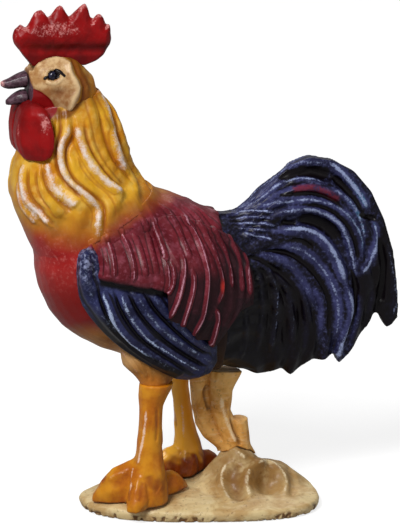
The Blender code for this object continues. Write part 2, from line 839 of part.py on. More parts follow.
def make_leg(name, leg):
    """Shank, spur and four toes, cut to the ground and to the thigh."""
    sides = 12
    radius = leg["shank_diameter"] / 2.0
    top_x, top_y = leg["top"]
    ankle_x, ankle_y = leg["ankle"]
    foot = ground_height(ankle_x, ankle_y)
    rings = []
    for row in range(SHANK_STATIONS + 1):
        part = row / SHANK_STATIONS
        bend = leg["top_bend"] * max(0.0, 1.0 - part / SHANK_BEND_END) ** 2
        x = top_x + (ankle_x - top_x) * part + bend
        y = top_y + (ankle_y - top_y) * part
        z = LEG_TOP + (foot - LEG_TOP) * part
        size = radius * curve_at(SHANK_FORM, part)[0]
        ring = []
        for side in range(sides):
            angle = math.tau * side / sides
            ring.append((x + size * math.cos(angle), y + size * math.sin(angle), z))
        rings.append(ring)
    shank = make_tube(name, rings)
    for toe in leg["toes"]:
        combine(shank, make_toe("toe_tool", leg["ankle"], toe, leg["ankle_rise"]), "UNION")
    share, part = SPUR_PLACE
    spur_x = top_x + (ankle_x - top_x) * part + leg["shank_diameter"] * share
    spur_y = top_y + (ankle_y - top_y) * part
    spur_z = LEG_TOP + (foot - LEG_TOP) * part
    combine(shank, make_spur(Vector((spur_x, spur_y, spur_z))), "UNION")
    combine(shank, make_ground_tool(), "DIFFERENCE", folded=True)
    return shank


def make_spur(start):
    """Spur that lies down the back of the shank, with its end free."""
    sides = 8
    rings = []
    for part, share in SPUR_FORM:
        radius = SPUR_DIAMETER / 2.0 * share
        z = start.z - SPUR_LENGTH * part
        ring = []
        for side in range(sides):
            angle = math.tau * (side + 0.5) / sides
            ring.append((start.x + radius * math.cos(angle), start.y + radius * math.sin(angle), z))
        rings.append(ring)
    return make_tube("spur_tool", rings)


def make_thigh(leg, grow=0.0):
    """Thigh from the top of the shank into the trunk, all round larger by grow."""
    sides = 16
    rows = 5
    lowest = LEG_TOP + GLUE_GAP - grow
    rings = []
    for row in range(rows + 1):
        z = lowest + (THIGH_TOP - lowest) * row / rows
        x, y, half_length, half_width = thigh_section(leg, z)
        half_length += grow
        half_width += grow
        ring = []
        for side in range(sides):
            angle = math.tau * side / sides
            ring.append((x + half_length * math.cos(angle), y + half_width * math.sin(angle), z))
        rings.append(ring)
    return make_tube("thigh_tool", rings)


def make_body():
    """Breast, belly, back and thighs, from the neck seam to the tail seam."""
    sides = TRUNK_SIDES
    rows = 11
    rings = [moved(trunk_ring(HACKLE_END, sides), plane_normal(HACKLE_END) * GLUE_GAP)]
    for row in range(1, rows):
        station = HACKLE_END + (TAIL_ROOT - HACKLE_END) * row / rows
        rings.append(trunk_ring(station, sides))
    rings.append(moved(trunk_ring(TAIL_ROOT, sides), plane_normal(TAIL_ROOT) * -GLUE_GAP))
    body = make_tube("body", rings)
    combine(body, make_thigh(LEFT_LEG), "UNION")
    combine(body, make_thigh(RIGHT_LEG), "UNION")
    return body


def neck_flute(station, angle):
    """Depth of the long wavy flutes of the neck cape, fading at both seams and at the throat."""
    fade = ease(station / NECK_THROAT_FADE) * ease((HACKLE_END - station) / NECK_FLUTE_FADE)
    turn = abs(math.remainder(angle, math.tau))
    throat = ease((turn - NECK_THROAT_TURN) / NECK_THROAT_TURN)
    turn += NECK_WAVE * math.sin(station * NECK_WAVE_RATE) + NECK_WAVE_DRIFT * station
    return -NECK_FLUTE_DEPTH * fade * throat * (0.5 - 0.5 * math.cos(NECK_FLUTES * turn))


def make_hackle():
    sides = NECK_SIDES
    rows = 11
    rings = []
    for row in range(rows + 1):
        station = HACKLE_TOP + (HACKLE_END - HACKLE_TOP) * row / rows
        rings.append(trunk_ring(station, sides, flute=neck_flute))
    return make_tube("hackle", rings)


def wider_neck(_station, _angle):
    """Clearance around the neck, for the pieces that lie against it."""
    return WATTLE_CLEARANCE


def make_neck_tool():
    """Solid that fills everything up to a clearance around the neck."""
    rings = [trunk_ring(station / 2.0, TRUNK_SIDES, flute=wider_neck) for station in range(-1, 8)]
    return make_tube("neck_tool", rings)


def head_relief(x, z):
    """Brow and ear lobe, as outward swellings of the face."""
    eye = math.hypot(x - EYE_PLACE[0], z - EYE_PLACE[1]) / EYE_HOLLOW_REACH
    lobe_x = (x - EAR_LOBE_PLACE[0]) / EAR_LOBE_REACH[0]
    lobe_z = (z - EAR_LOBE_PLACE[1]) / EAR_LOBE_REACH[1]
    lobe = math.hypot(lobe_x, lobe_z)
    return EAR_LOBE_SWELL * (1.0 - ease(lobe)) - EYE_HOLLOW * (1.0 - ease(eye))


def head_section(x):
    """Centre height, half height and half width of the head at a place along it."""
    middle, half_height, share = curve_at(HEAD, x)
    return middle, half_height, share * HEAD_WIDTH / 2.0


def make_head():
    sides = 24
    rows = 12
    first = HEAD[0][0]
    last = HEAD[-1][0]
    rings = []
    for row in range(rows + 1):
        x = first + (last - first) * math.sin(math.pi / 2.0 * row / rows)
        middle, half_height, half_width = head_section(x)
        ring = []
        for side in range(sides):
            angle = math.tau * side / sides
            z = middle + half_height * math.sin(angle)
            outward = math.cos(angle)
            y = half_width * outward
            if abs(outward) > HEAD_SIDE_START:
                sideways = ease((abs(outward) - HEAD_SIDE_START) / HEAD_SIDE_REACH)
                y += math.copysign(head_relief(x, z), outward) * sideways
            ring.append((x, y, z))
        rings.append(ring)
    head = make_tube("head", rings)
    seam = plane_middle(HACKLE_TOP) - plane_normal(HACKLE_TOP) * GLUE_GAP
    cut_by_plane(head, seam, plane_normal(HACKLE_TOP))
    half_groove = COMB_THICKNESS / 2.0 + GLUE_GAP
    low = (first - COMB_GROOVE_BEYOND, -half_groove, COMB_GROOVE_FLOOR)
    high = (last + COMB_GROOVE_BEYOND, half_groove, COMB_GROOVE_FLOOR + COMB_GROOVE_BEYOND)
    combine(head, make_block(low, high), "DIFFERENCE")
    for side in (LEFT, RIGHT):
        combine(head, make_eye("socket_tool", side, GLUE_GAP), "DIFFERENCE")
    return head


def make_block(low, high):
    points = []
    for x in (low[0], high[0]):
        for y in (low[1], high[1]):
            for z in (low[2], high[2]):
                points.append((x, y, z))
    faces = [(0, 1, 3, 2), (4, 6, 7, 5), (0, 4, 5, 1), (2, 3, 7, 6), (0, 2, 6, 4), (1, 5, 7, 3)]
    return make_object("block_tool", points, faces)


def cut_by_plane(thing, point, normal):
    """Remove what lies on the normal's side of a plane and close the cut."""
    scaled = Vector(point) * MM
    work = bmesh.new()
    work.from_mesh(thing.data)
    geometry = work.verts[:] + work.edges[:] + work.faces[:]
    result = bmesh.ops.bisect_plane(
        work, geom=geometry, plane_co=scaled, plane_no=normal, clear_outer=True, dist=1e-9
    )
    edges = [item for item in result["geom_cut"] if isinstance(item, bmesh.types.BMEdge)]
    bmesh.ops.holes_fill(work, edges=edges, sides=0)
    bmesh.ops.recalc_face_normals(work, faces=work.faces)
    work.to_mesh(thing.data)
    work.free()


def eye_centre(side):
    x, z = EYE_PLACE
    middle, half_height, half_width = head_section(x)
    rise = (z - middle) / half_height
    y = half_width * math.sqrt(1.0 - rise * rise) + head_relief(x, z)
    return Vector((x, side * y, z))


def make_eye(name, side, grow):
    """Domed eye, a flattened ball half sunk in its socket."""
    sides = 12
    rows = 5
    centre = eye_centre(side)
    radius = EYE_DIAMETER / 2.0 + grow
    half_depth = EYE_DEPTH / 2.0 + grow
    rings = []
    for row in range(rows + 1):
        share = EYE_POLE + (1.0 - 2.0 * EYE_POLE) * row / rows
        swell = radius * math.sin(math.pi * share)
        depth = half_depth * math.cos(math.pi * share)
        ring = []
        for number in range(sides):
            angle = math.tau * number / sides
            x = centre.x + swell * math.cos(angle)
            z = centre.z + swell * math.sin(angle)
            y = centre.y + side * (depth - EYE_SINK - EYE_TILT * (z - centre.z))
            ring.append((x, y, z))
        rings.append(ring)
    return make_tube(name, rings)


def make_comb():
    """Thick comb that stands in the head's groove, with a roll over its foot and thin points."""
    columns = 50
    rows = 7
    left = []
    right = []
    for row in range(rows + 1):
        height = 1.0 - (1.0 - row / rows) ** COMB_ROW_POWER
        left_row = []
        right_row = []
        for column in range(columns + 1):
            share = column / columns
            low_x, low_z = curve_at(COMB_LOWER, share)
            high_x, rise = curve_at(COMB_UPPER, share)
            high_z = COMB_FOOT + COMB_HEIGHT * rise
            x = low_x + (high_x - low_x) * height
            z = low_z + (high_z - low_z) * height
            from_rim = (1.0 - height) * math.hypot(high_x - low_x, high_z - low_z)
            flat = 1.0 - min(from_rim / COMB_RIM_REACH, 1.0)
            rim = 1.0 - (1.0 - COMB_RIM_SHARE) * flat * flat
            swell = curve_at(COMB_SWELL, (z - COMB_FOOT) / COMB_HEIGHT)[0]
            half = COMB_THICKNESS / 2.0 * swell * rim
            left_row.append((x, -half, z))
            right_row.append((x, half, z))
        left.append(left_row)
        right.append(right_row)
    return make_slab("comb", left, right)


def make_beak(name, table):
    rows = 6
    sides = 10
    first = table[0][0]
    last = table[-1][0]
    rings = []
    for row in range(rows + 1):
        x = first + (last - first) * math.sin(math.pi / 2.0 * row / rows)
        middle, half_height, half_width = curve_at(tuple(reversed(table)), x)
        ring = []
        for side in range(sides):
            angle = math.tau * side / sides
            ring.append((x, half_width * math.cos(angle), middle + half_height * math.sin(angle)))
        rings.append(ring)
    return make_tube(name, rings)


def make_wattle(name, side):
    """Hanging drop beside the throat, flat and turned to lie along the neck."""
    rows = 9
    sides = 12
    front_x, front_z, rear_x, rear_z, half_width = trunk_section(WATTLE_STATION)
    reach = (rear_x - front_x) / 2.0
    forward = math.cos(WATTLE_PLACE)
    sideways = math.sin(WATTLE_PLACE)
    turn = math.atan2(sideways / half_width, forward / reach)
    along = Vector((math.sin(turn), side * math.cos(turn), 0.0))
    outward = Vector((-math.cos(turn), side * math.sin(turn), 0.0))
    height = (front_z + rear_z) / 2.0 - forward * (rear_z - front_z) / 2.0 + WATTLE_LIFT
    centre = Vector((front_x + reach * (1.0 - forward), side * half_width * sideways, height))
    centre += outward * (WATTLE_THICKNESS / 2.0 + GLUE_GAP - WATTLE_SINK)
    rings = []
    for row in range(rows + 1):
        share = WATTLE_POLE + (1.0 - 2.0 * WATTLE_POLE) * row / rows
        height = WATTLE_HEIGHT / 2.0 * math.cos(math.pi * share)
        swell = math.sin(math.pi * share) ** WATTLE_FULLNESS
        breadth = WATTLE_BREADTH / 2.0 * swell * (1.0 - WATTLE_DROP * math.cos(math.pi * share))
        thick = WATTLE_THICKNESS / 2.0 * swell
        ring = []
        for number in range(sides):
            angle = math.tau * number / sides
            place = centre + along * (breadth * math.cos(angle)) + outward * (thick * math.sin(angle))
            ring.append((place.x, place.y, place.z + height))
        rings.append(ring)
    wattle = make_tube(name, rings)
    combine(wattle, make_neck_tool(), "DIFFERENCE")
    return wattle


def wing_relief(x, z, share):
    """Ridges of the primaries, and the bed that is cut back for the coverts."""
    covered = under_coverts(x, z)
    front = ease((COVERTS_FRONT + SHOULDER_EDGE - x) / SHOULDER_EDGE)
    ridges = 0.5 - 0.5 * math.cos(math.tau * PRIMARY_FLUTES * share)
    primaries = PRIMARY_SHARE + PRIMARY_RIDGE_SHARE * ridges
    return (front + primaries * (1.0 - front)) * (1.0 - covered) + (1.0 - COVERTS_SHARE) * covered


def make_coverts(name, leg):
    """Layer of small feathers on the upper wing, ending in a step above the primaries."""
    side = leg["side"]
    rows = 7
    columns = COVERTS_FEATHERS * 4
    outer = []
    inner = []
    for row in range(rows + 1):
        along = row / rows
        outer_row = []
        inner_row = []
        for column in range(columns + 1):
            across = column / columns
            top_x, top_z = curve_at(COVERTS_TOP, across)
            low_x, low_z = curve_at(COVERTS_BOTTOM, across)
            wave = abs(math.sin(math.pi * COVERTS_FEATHERS * across))
            reach = along * (1.0 - COVERTS_SCALLOP * (1.0 - wave))
            x = top_x + (low_x - top_x) * reach
            z = top_z + (low_z - top_z) * reach
            cover = wing_cover(x, z)
            bed = flank(leg, x, z) + 2.0 * GLUE_GAP + cover * (1.0 - COVERTS_SHARE)
            front, top, foot = COVERTS_BORDER
            border = ease(min(across / front, along / top, (1.0 - along) / foot))
            full = COVERTS_VALLEY_SHARE + (1.0 - COVERTS_VALLEY_SHARE) * wave
            thick = cover * COVERTS_SHARE * (COVERTS_RIM_SHARE + (1.0 - COVERTS_RIM_SHARE) * border * full)
            inner_row.append((x, side * bed, z))
            outer_row.append((x, side * (bed + thick), z))
        outer.append(outer_row)
        inner.append(inner_row)
    return make_slab(name, outer, inner)


def make_wing(name, leg):
    """Folded wing that lies on the flank, from the shoulder to the feather tips."""
    side = leg["side"]
    rows = 18
    columns = 12
    outer = []
    inner = []
    for row in range(rows + 1):
        along = row / rows
        low_x, low_z = curve_at(WING_LOWER, along)
        high_x, high_z = curve_at(WING_UPPER, along)
        outer_row = []
        inner_row = []
        for column in range(columns + 1):
            share = column / columns
            x = low_x + (high_x - low_x) * share
            z = low_z + (high_z - low_z) * share
            bed = flank(leg, x, z) + GLUE_GAP
            edge, end = WING_BORDER
            border = ease(min(share / edge, along / end, (1.0 - along) / end))
            covered = under_coverts(x, z)
            thick = wing_cover(x, z) * wing_relief(x, z, share)
            thick *= WING_RIM_SHARE + (1.0 - WING_RIM_SHARE) * max(border, covered)
            inner_row.append((x, side * bed, z))
            outer_row.append((x, side * (bed + thick), z))
        outer.append(outer_row)
        inner.append(inner_row)
    wing = make_slab(name, outer, inner)
    combine(wing, make_thigh(leg, GLUE_GAP), "DIFFERENCE")
    return wing


def make_saddle(name, leg):
    """Hanging saddle feathers over the rear of the wing."""
    side = leg["side"]
    rows = 9
    columns = SADDLE_FLUTES * 4
    outer = []
    inner = []
    for row in range(rows + 1):
        along = row / rows
        outer_row = []
        inner_row = []
        for column in range(columns + 1):
            across = column / columns
            x, z = feather_point(SADDLE_FEATHERS, SADDLE_TIPS, across, along)
            bed = flank(leg, x, z) + wing_cover(x, z) + 3.0 * GLUE_GAP
            flute = 0.5 - 0.5 * math.cos(math.tau * SADDLE_FLUTES * across)
            edge, top, foot = SADDLE_BORDER
            border = ease(min(across / edge, (1.0 - across) / edge, along / top, (1.0 - along) / foot))
            full = SADDLE_VALLEY_SHARE + (1.0 - SADDLE_VALLEY_SHARE) * flute
            thick = SADDLE_THICKNESS * (SADDLE_RIM_SHARE + (1.0 - SADDLE_RIM_SHARE) * border * full)
            inner_row.append((x, side * bed, z))
            outer_row.append((x, side * (bed + thick), z))
        outer.append(outer_row)
        inner.append(inner_row)
    return make_slab(name, outer, inner)


def tail_thickness(across, along, x, z):
    """Half thickness of the tail, that leaves the trunk full and thins to its edge."""
    full = TAIL_WIDTH / 2.0 * (TAIL_CORE_SHARE + (1.0 - TAIL_CORE_SHARE) * (1.0 - along) ** TAIL_CORE_POWER)
    edge = ease((1.0 - across) / TAIL_RIM_SHARE)
    tip = ease((1.0 - along) / TAIL_TIP_REACH)
    half = TAIL_EDGE_THICKNESS / 2.0
    body = half + (full - half) * edge
    least = TAIL_LEAST_THICKNESS / 2.0
    thickness = least + (body - least) * (TAIL_TIP_SHARE + (1.0 - TAIL_TIP_SHARE) * tip)
    root = trunk_side(x, z) - GLUE_GAP
    return min(thickness, max(root, half)) if x < TAIL_BED_END else thickness


def make_tail():
    """Fan of sickle feathers with a flute between each two of them."""
    rows = 14
    columns = TAIL_FLUTES * 5
    left = []
    right = []
    for row in range(rows + 1):
        along = row / rows
        left_row = []
        right_row = []
        for column in range(columns + 1):
            across = column / columns
            x, z = tail_point(across, along)
            wave = 0.5 - 0.5 * math.cos(math.tau * TAIL_FLUTES * across)
            fade = ease(along / TAIL_FLUTE_START) * ease((1.0 - across) / TAIL_FLUTE_RIM)
            depth = TAIL_FLUTE_DEPTH * fade
            half = tail_thickness(across, along, x, z) - depth * (1.0 - wave)
            for middle, place, breadth, reach, hollow in TAIL_HOLLOWS:
                away = math.hypot((across - middle) / breadth, (along - place) / reach)
                half -= hollow * (1.0 - ease(away))
            left_row.append((x, -half, z))
            right_row.append((x, half, z))
        left.append(left_row)
        right.append(right_row)
    return make_slab("tail", left, right)


def join_with_dowel(name, first, second, middle, axis, diameter, length):
    """Dowel across a seam, and its bores with a gap in the two pieces it joins."""
    reach = axis * (length / 2.0)
    end_gap = axis * GLUE_GAP
    radius = diameter / 2.0
    for piece in (first, second):
        bore = make_peg("bore_tool", middle - reach - end_gap, middle + reach + end_gap, radius + GLUE_GAP)
        combine(piece, bore, "DIFFERENCE")
    return make_peg(name, middle - reach, middle + reach, radius)


GOLD = (0.62, 0.34, 0.04)
RED = (0.36, 0.03, 0.02)
BREAST = (0.42, 0.05, 0.04)
MAROON = (0.2, 0.03, 0.06)
NAVY = (0.03, 0.035, 0.11)
NIGHT = (0.015, 0.012, 0.035)
CREAM = (0.68, 0.45, 0.24)
HORN = (0.07, 0.03, 0.05)
AMBER = (0.55, 0.28, 0.04)
SAND = (0.5, 0.38, 0.18)
BARK = (0.42, 0.3, 0.14)
PALE_WOOD = (0.66, 0.5, 0.32)
EYE_BLACK = (0.005, 0.006, 0.02)


def build():
    for thing in list(bpy.data.objects):
        bpy.data.objects.remove(thing)

    base = make_base()
    stump = make_stump()
    left_leg = make_leg("left_leg", LEFT_LEG)
    right_leg = make_leg("right_leg", RIGHT_LEG)
    body = make_body()
    hackle = make_hackle()
    head = make_head()
    tail = make_tail()

    dowels = [
        join_with_dowel(
            "head_dowel", head, hackle, plane_middle(HACKLE_TOP), plane_normal(HACKLE_TOP),
            DOWEL_DIAMETER, HEAD_DOWEL_LENGTH,
        ),
        join_with_dowel(
            "neck_dowel", hackle, body, plane_middle(HACKLE_END), plane_normal(HACKLE_END),
            DOWEL_DIAMETER, NECK_DOWEL_LENGTH,
        ),
        join_with_dowel(
            "tail_dowel", body, tail, plane_middle(TAIL_ROOT) + Vector((0.0, 0.0, TAIL_DOWEL_RISE)),
            plane_normal(TAIL_ROOT), DOWEL_DIAMETER, TAIL_DOWEL_LENGTH,
        ),
    ]
    down = Vector((0.0, 0.0, -1.0))
    shanks = (("left_leg_dowel", left_leg, LEFT_LEG), ("right_leg_dowel", right_leg, RIGHT_LEG))
    for name, shank, leg in shanks:
        middle = Vector((leg["top"][0], leg["top"][1], LEG_TOP))
        dowels.append(join_with_dowel(name, body, shank, middle, down, LEG_DOWEL_DIAMETER, LEG_DOWEL_LENGTH))
    foot_x = STUMP_MAIN[1][1]
    foot_y = STUMP_MAIN[1][2]
    stump_foot = Vector((foot_x, foot_y, ground_height(foot_x, foot_y)))
    dowels.append(
        join_with_dowel("stump_dowel", stump, base, stump_foot, down, DOWEL_DIAMETER, STUMP_DOWEL_LENGTH)
    )
    for dowel in dowels:
        finish(dowel, PALE_WOOD, 0.7)

    finish(base, SAND)
    finish(stump, BARK)
    finish(left_leg, AMBER)
    finish(right_leg, AMBER)
    finish(body, BREAST)
    finish(hackle, GOLD)
    finish(head, CREAM)
    finish(tail, NIGHT, 0.35)
    finish(make_comb(), RED)
    finish(make_beak("upper_beak", UPPER_BEAK), HORN)
    finish(make_beak("lower_beak", LOWER_BEAK), HORN)
    for word, leg in (("left", LEFT_LEG), ("right", RIGHT_LEG)):
        finish(make_eye(word + "_eye", leg["side"], 0.0), EYE_BLACK, 0.15)
        finish(make_wattle(word + "_wattle", leg["side"]), RED)
        finish(make_wing(word + "_wing", leg), NAVY, 0.35)
        finish(make_coverts(word + "_coverts", leg), MAROON)
        finish(make_saddle(word + "_saddle", leg), MAROON)


build()
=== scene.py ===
"""Looks of the carved and painted wooden rooster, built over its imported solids."""

import math

import bpy
import numpy as np
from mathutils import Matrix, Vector
from mathutils.bvhtree import BVHTree


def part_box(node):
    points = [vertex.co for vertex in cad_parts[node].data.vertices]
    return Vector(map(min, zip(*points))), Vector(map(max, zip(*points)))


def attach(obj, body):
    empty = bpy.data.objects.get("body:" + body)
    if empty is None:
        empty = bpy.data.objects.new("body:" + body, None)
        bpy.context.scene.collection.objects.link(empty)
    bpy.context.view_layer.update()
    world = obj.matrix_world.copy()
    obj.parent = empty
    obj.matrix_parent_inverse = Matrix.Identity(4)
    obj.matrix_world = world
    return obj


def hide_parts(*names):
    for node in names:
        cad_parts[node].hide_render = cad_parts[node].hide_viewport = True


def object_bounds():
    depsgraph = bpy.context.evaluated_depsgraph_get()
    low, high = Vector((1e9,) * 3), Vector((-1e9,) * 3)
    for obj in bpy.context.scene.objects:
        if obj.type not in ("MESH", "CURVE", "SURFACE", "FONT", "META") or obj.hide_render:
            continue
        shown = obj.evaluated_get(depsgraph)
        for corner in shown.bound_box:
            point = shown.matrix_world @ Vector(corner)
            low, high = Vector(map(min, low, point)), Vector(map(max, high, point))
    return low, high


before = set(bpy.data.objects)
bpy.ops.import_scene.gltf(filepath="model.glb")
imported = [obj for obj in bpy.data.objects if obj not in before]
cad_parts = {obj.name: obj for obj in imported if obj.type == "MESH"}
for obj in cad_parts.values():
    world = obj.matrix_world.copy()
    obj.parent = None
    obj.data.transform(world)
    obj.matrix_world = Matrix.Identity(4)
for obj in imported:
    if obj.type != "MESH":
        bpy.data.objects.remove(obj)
solid_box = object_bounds()

MM = 0.001
SIDES = ("left", "right")

# The photograph's view: turn and rise of the camera, its distance and the width that the photograph
# spans at that distance, in metres. The photograph's size is in pixels.
VIEW_TURN = math.radians(-15.0)
VIEW_RISE = math.radians(15.0)
VIEW_DISTANCE = 0.8
VIEW_WIDTH = 0.1015
PHOTO_SIZE = (400.0, 532.0)
PHOTO_MIDDLE = (PHOTO_SIZE[0] / 2.0, PHOTO_SIZE[1] / 2.0)
PIXEL = VIEW_WIDTH / PHOTO_SIZE[0]
TO_RIGHT = Vector((math.cos(VIEW_TURN), math.sin(VIEW_TURN), 0.0))
TO_BACK = Vector(
    (
        math.sin(VIEW_TURN) * math.cos(VIEW_RISE),
        -math.cos(VIEW_TURN) * math.cos(VIEW_RISE),
        math.sin(VIEW_RISE),
    )
)
TO_TOP = TO_BACK.cross(TO_RIGHT)

# The camera looks at a place this far above the origin, in metres, and a few pixels left and up.
AIM_RISE = 0.0585
AIM_SHIFT = (3.0, 2.0)
VIEW_AIM = TO_TOP * (AIM_RISE + AIM_SHIFT[1] * PIXEL) - TO_RIGHT * (AIM_SHIFT[0] * PIXEL)
VIEW_PLACE = VIEW_AIM + TO_BACK * VIEW_DISTANCE

# Steps along a stroke laid over the solids and along a line in the photograph, in pixels, and the
# distance in metres below which points of a solid are merged.
STROKE_STEP = 3.0
LINE_STEP = 2.0
MERGE_DISTANCE = 2e-6

# What all paints share.
PAINT_SPECULAR = 0.2
COAT_ROUGHNESS = 0.22

# Strokes of the gouge and the brush. Each has the points that it passes in the photograph's frame of
# 400 by 532 pixels, its half width and height in mm, with a negative height for a groove, and the
# share of light paint on its top, dry-brush paint that also serves as the ridge's painted highlight.
HACKLE_RIDGES = (
    (((26, 160), (22, 176), (24, 193), (29, 203), (38, 211), (51, 226)), 1.0, 0.7, 1.0),
    (((20, 178), (18.6, 190), (21, 203), (27, 213), (38, 224)), 0.8, 0.5, 0.8),
    (((47, 160), (49, 170), (53, 184), (60, 193), (70, 199), (79, 207)), 1.3, 0.9, 1.0),
    (
        (
            (67, 112), (67, 131), (61.5, 142), (60, 155), (63, 170), (70, 182), (80, 190), (90, 199),
            (97, 208), (99, 219), (96, 230), (92, 240),
        ),
        1.0, 0.9, 1.0,
    ),
    (
        ((77, 118), (79, 138), (84, 150), (91, 163), (100, 175), (110, 184), (120, 191), (121, 199)),
        1.1, 0.8, 1.0,
    ),
    (
        ((95, 80), (101, 93), (106, 105), (110, 119), (113, 132), (117, 147), (121, 161), (127, 173)),
        1.2, 0.7, 1.0,
    ),
    (((51, 178), (57, 189), (65, 197), (76, 205)), 2.0, 0.25, 0.85),
    (((22, 188), (26, 202), (33, 212), (41, 220)), 1.7, 0.2, 0.8),
    (((108, 102), (118, 123), (124, 142), (129, 160), (138, 176)), 0.8, 0.5, 0.2),
    (((88, 88), (92, 105), (95, 122), (99, 140), (107, 158), (117, 172), (130, 184)), 1.0, 0.5, 0.05),
    (((40, 166), (41, 180), (46, 196), (55, 208), (64, 217)), 1.0, 0.5, 0.1),
    (((57, 118), (58, 135), (53, 150), (53, 163), (56, 176), (63, 186)), 0.8, 0.45, 0.1),
    (((33, 167), (32, 182), (36, 196), (46, 208)), 0.8, 0.4, 0.1),
    (((71, 150), (73, 163), (79, 176), (90, 188), (101, 197), (108, 207), (110, 220)), 1.1, 0.5, 0.1),
)
HACKLE_GROOVES = (
    (((60, 112), (60, 132), (56, 148), (57, 166), (62, 178), (72, 189), (84, 199)), 0.5, -0.7, 0.0),
    (
        (
            (73, 116), (74, 134), (67, 150), (68, 165), (75, 180), (88, 191), (103, 204), (104, 220),
            (99, 234),
        ),
        0.5, -0.6, 0.0,
    ),
    (((85, 120), (87, 136), (92, 150), (100, 163), (110, 176), (124, 189)), 0.5, -0.6, 0.0),
    (((100, 112), (103, 130), (107, 145), (114, 160), (124, 173), (134, 183)), 0.5, -0.5, 0.0),
    (((44, 164), (44, 178), (49, 191), (60, 202), (72, 212)), 0.5, -0.5, 0.0),
    (((29, 170), (28, 186), (33, 200), (44, 214), (56, 228)), 0.5, -0.5, 0.0),
    (((36, 168), (37, 184), (41, 198), (52, 212)), 0.4, -0.4, 0.0),
    (((103, 92), (111, 108), (117, 128), (121, 146), (126, 162)), 0.4, -0.4, 0.0),
)
BACK_RIDGES = (
    (((150, 208), (156, 226), (162, 242), (166, 257), (168, 272), (168.5, 284), (164, 299)), 0.7, 0.6, 1.0),
    (((160, 203), (172, 217), (181, 232), (187, 247), (191, 262)), 0.7, 0.5, 0.7),
    (
        (
            (171, 203), (184, 216), (194, 231), (202, 247), (206, 262), (208, 280), (206, 303), (202, 320),
            (191, 341),
        ),
        0.75, 0.8, 1.0,
    ),
    (
        ((180, 202), (195, 216), (206, 232), (213, 247), (218, 262), (222, 277), (223, 289), (218, 307)),
        0.7, 0.6, 0.7,
    ),
    (((190, 202), (206, 216), (218, 233), (226, 252), (231, 272), (233, 292)), 0.7, 0.5, 0.6),
    (((203, 205), (218, 218), (230, 234), (238, 254), (242, 275), (243, 296)), 0.7, 0.5, 0.5),
    (((216, 211), (230, 224), (241, 241), (247, 260), (250, 281), (251, 299)), 0.8, 0.5, 0.6),
    (((172, 262), (174.5, 275), (173, 287), (168, 296)), 0.5, 0.6, 0.9),
    (((182, 250), (184.5, 266), (183, 285), (178, 303), (170, 320)), 0.65, 0.8, 1.0),
    (((193, 268), (194, 285), (190, 305), (182, 330)), 0.65, 0.7, 1.0),
    (((216, 308), (218, 318), (216, 331), (211, 347)), 0.8, 0.8, 1.0),
    (((140, 212), (147, 228), (152, 246), (155, 262), (157, 278)), 0.6, 0.4, 0.3),
)
COVERT_RIDGES = (
    (((105, 228), (109, 240), (112.5, 252), (114, 266), (114, 279)), 0.6, 0.6, 1.0),
    (((118, 222), (124, 235), (129, 247), (132.5, 260), (134, 273), (132.5, 284)), 0.6, 0.6, 1.0),
    (((133, 230), (140, 246), (144, 262), (146, 279)), 0.6, 0.4, 0.4),
    (((98, 236), (101, 250), (102, 266), (101, 279)), 0.5, 0.35, 0.3),
)
WING_RIDGES = (
    (
        (
            (92, 246), (87, 255), (85, 268), (86, 281), (92, 296), (103, 314), (118, 332), (138, 348),
            (160, 362), (181, 373),
        ),
        1.5, 0.7, 0.25,
    ),
    (((101, 287), (106, 303), (113, 320), (123, 334), (136, 347), (152, 359)), 1.1, 0.8, 1.0),
    (((119, 287), (126, 307), (137, 325), (150, 340), (164, 351), (184, 363), (203, 372)), 1.2, 0.8, 0.6),
    (((134, 287), (143, 307), (156, 323), (172, 337), (193, 351), (214, 364)), 1.2, 0.6, 0.35),
    (((150, 288), (160, 306), (175, 322), (192, 338), (212, 352)), 1.0, 0.4, 0.2),
)
WING_GROOVES = (
    (((97, 286), (101, 302), (110, 322), (123, 338), (141, 353), (166, 367)), 0.45, -0.8, 0.0),
    (((112, 287), (118, 304), (128, 323), (141, 339), (156, 351), (178, 365), (192, 373)), 0.45, -0.7, 0.0),
    (((127, 287), (136, 308), (149, 326), (164, 341), (186, 356), (208, 369)), 0.45, -0.7, 0.0),
    (((143, 288), (153, 307), (168, 324), (186, 341), (210, 357)), 0.4, -0.6, 0.0),
)
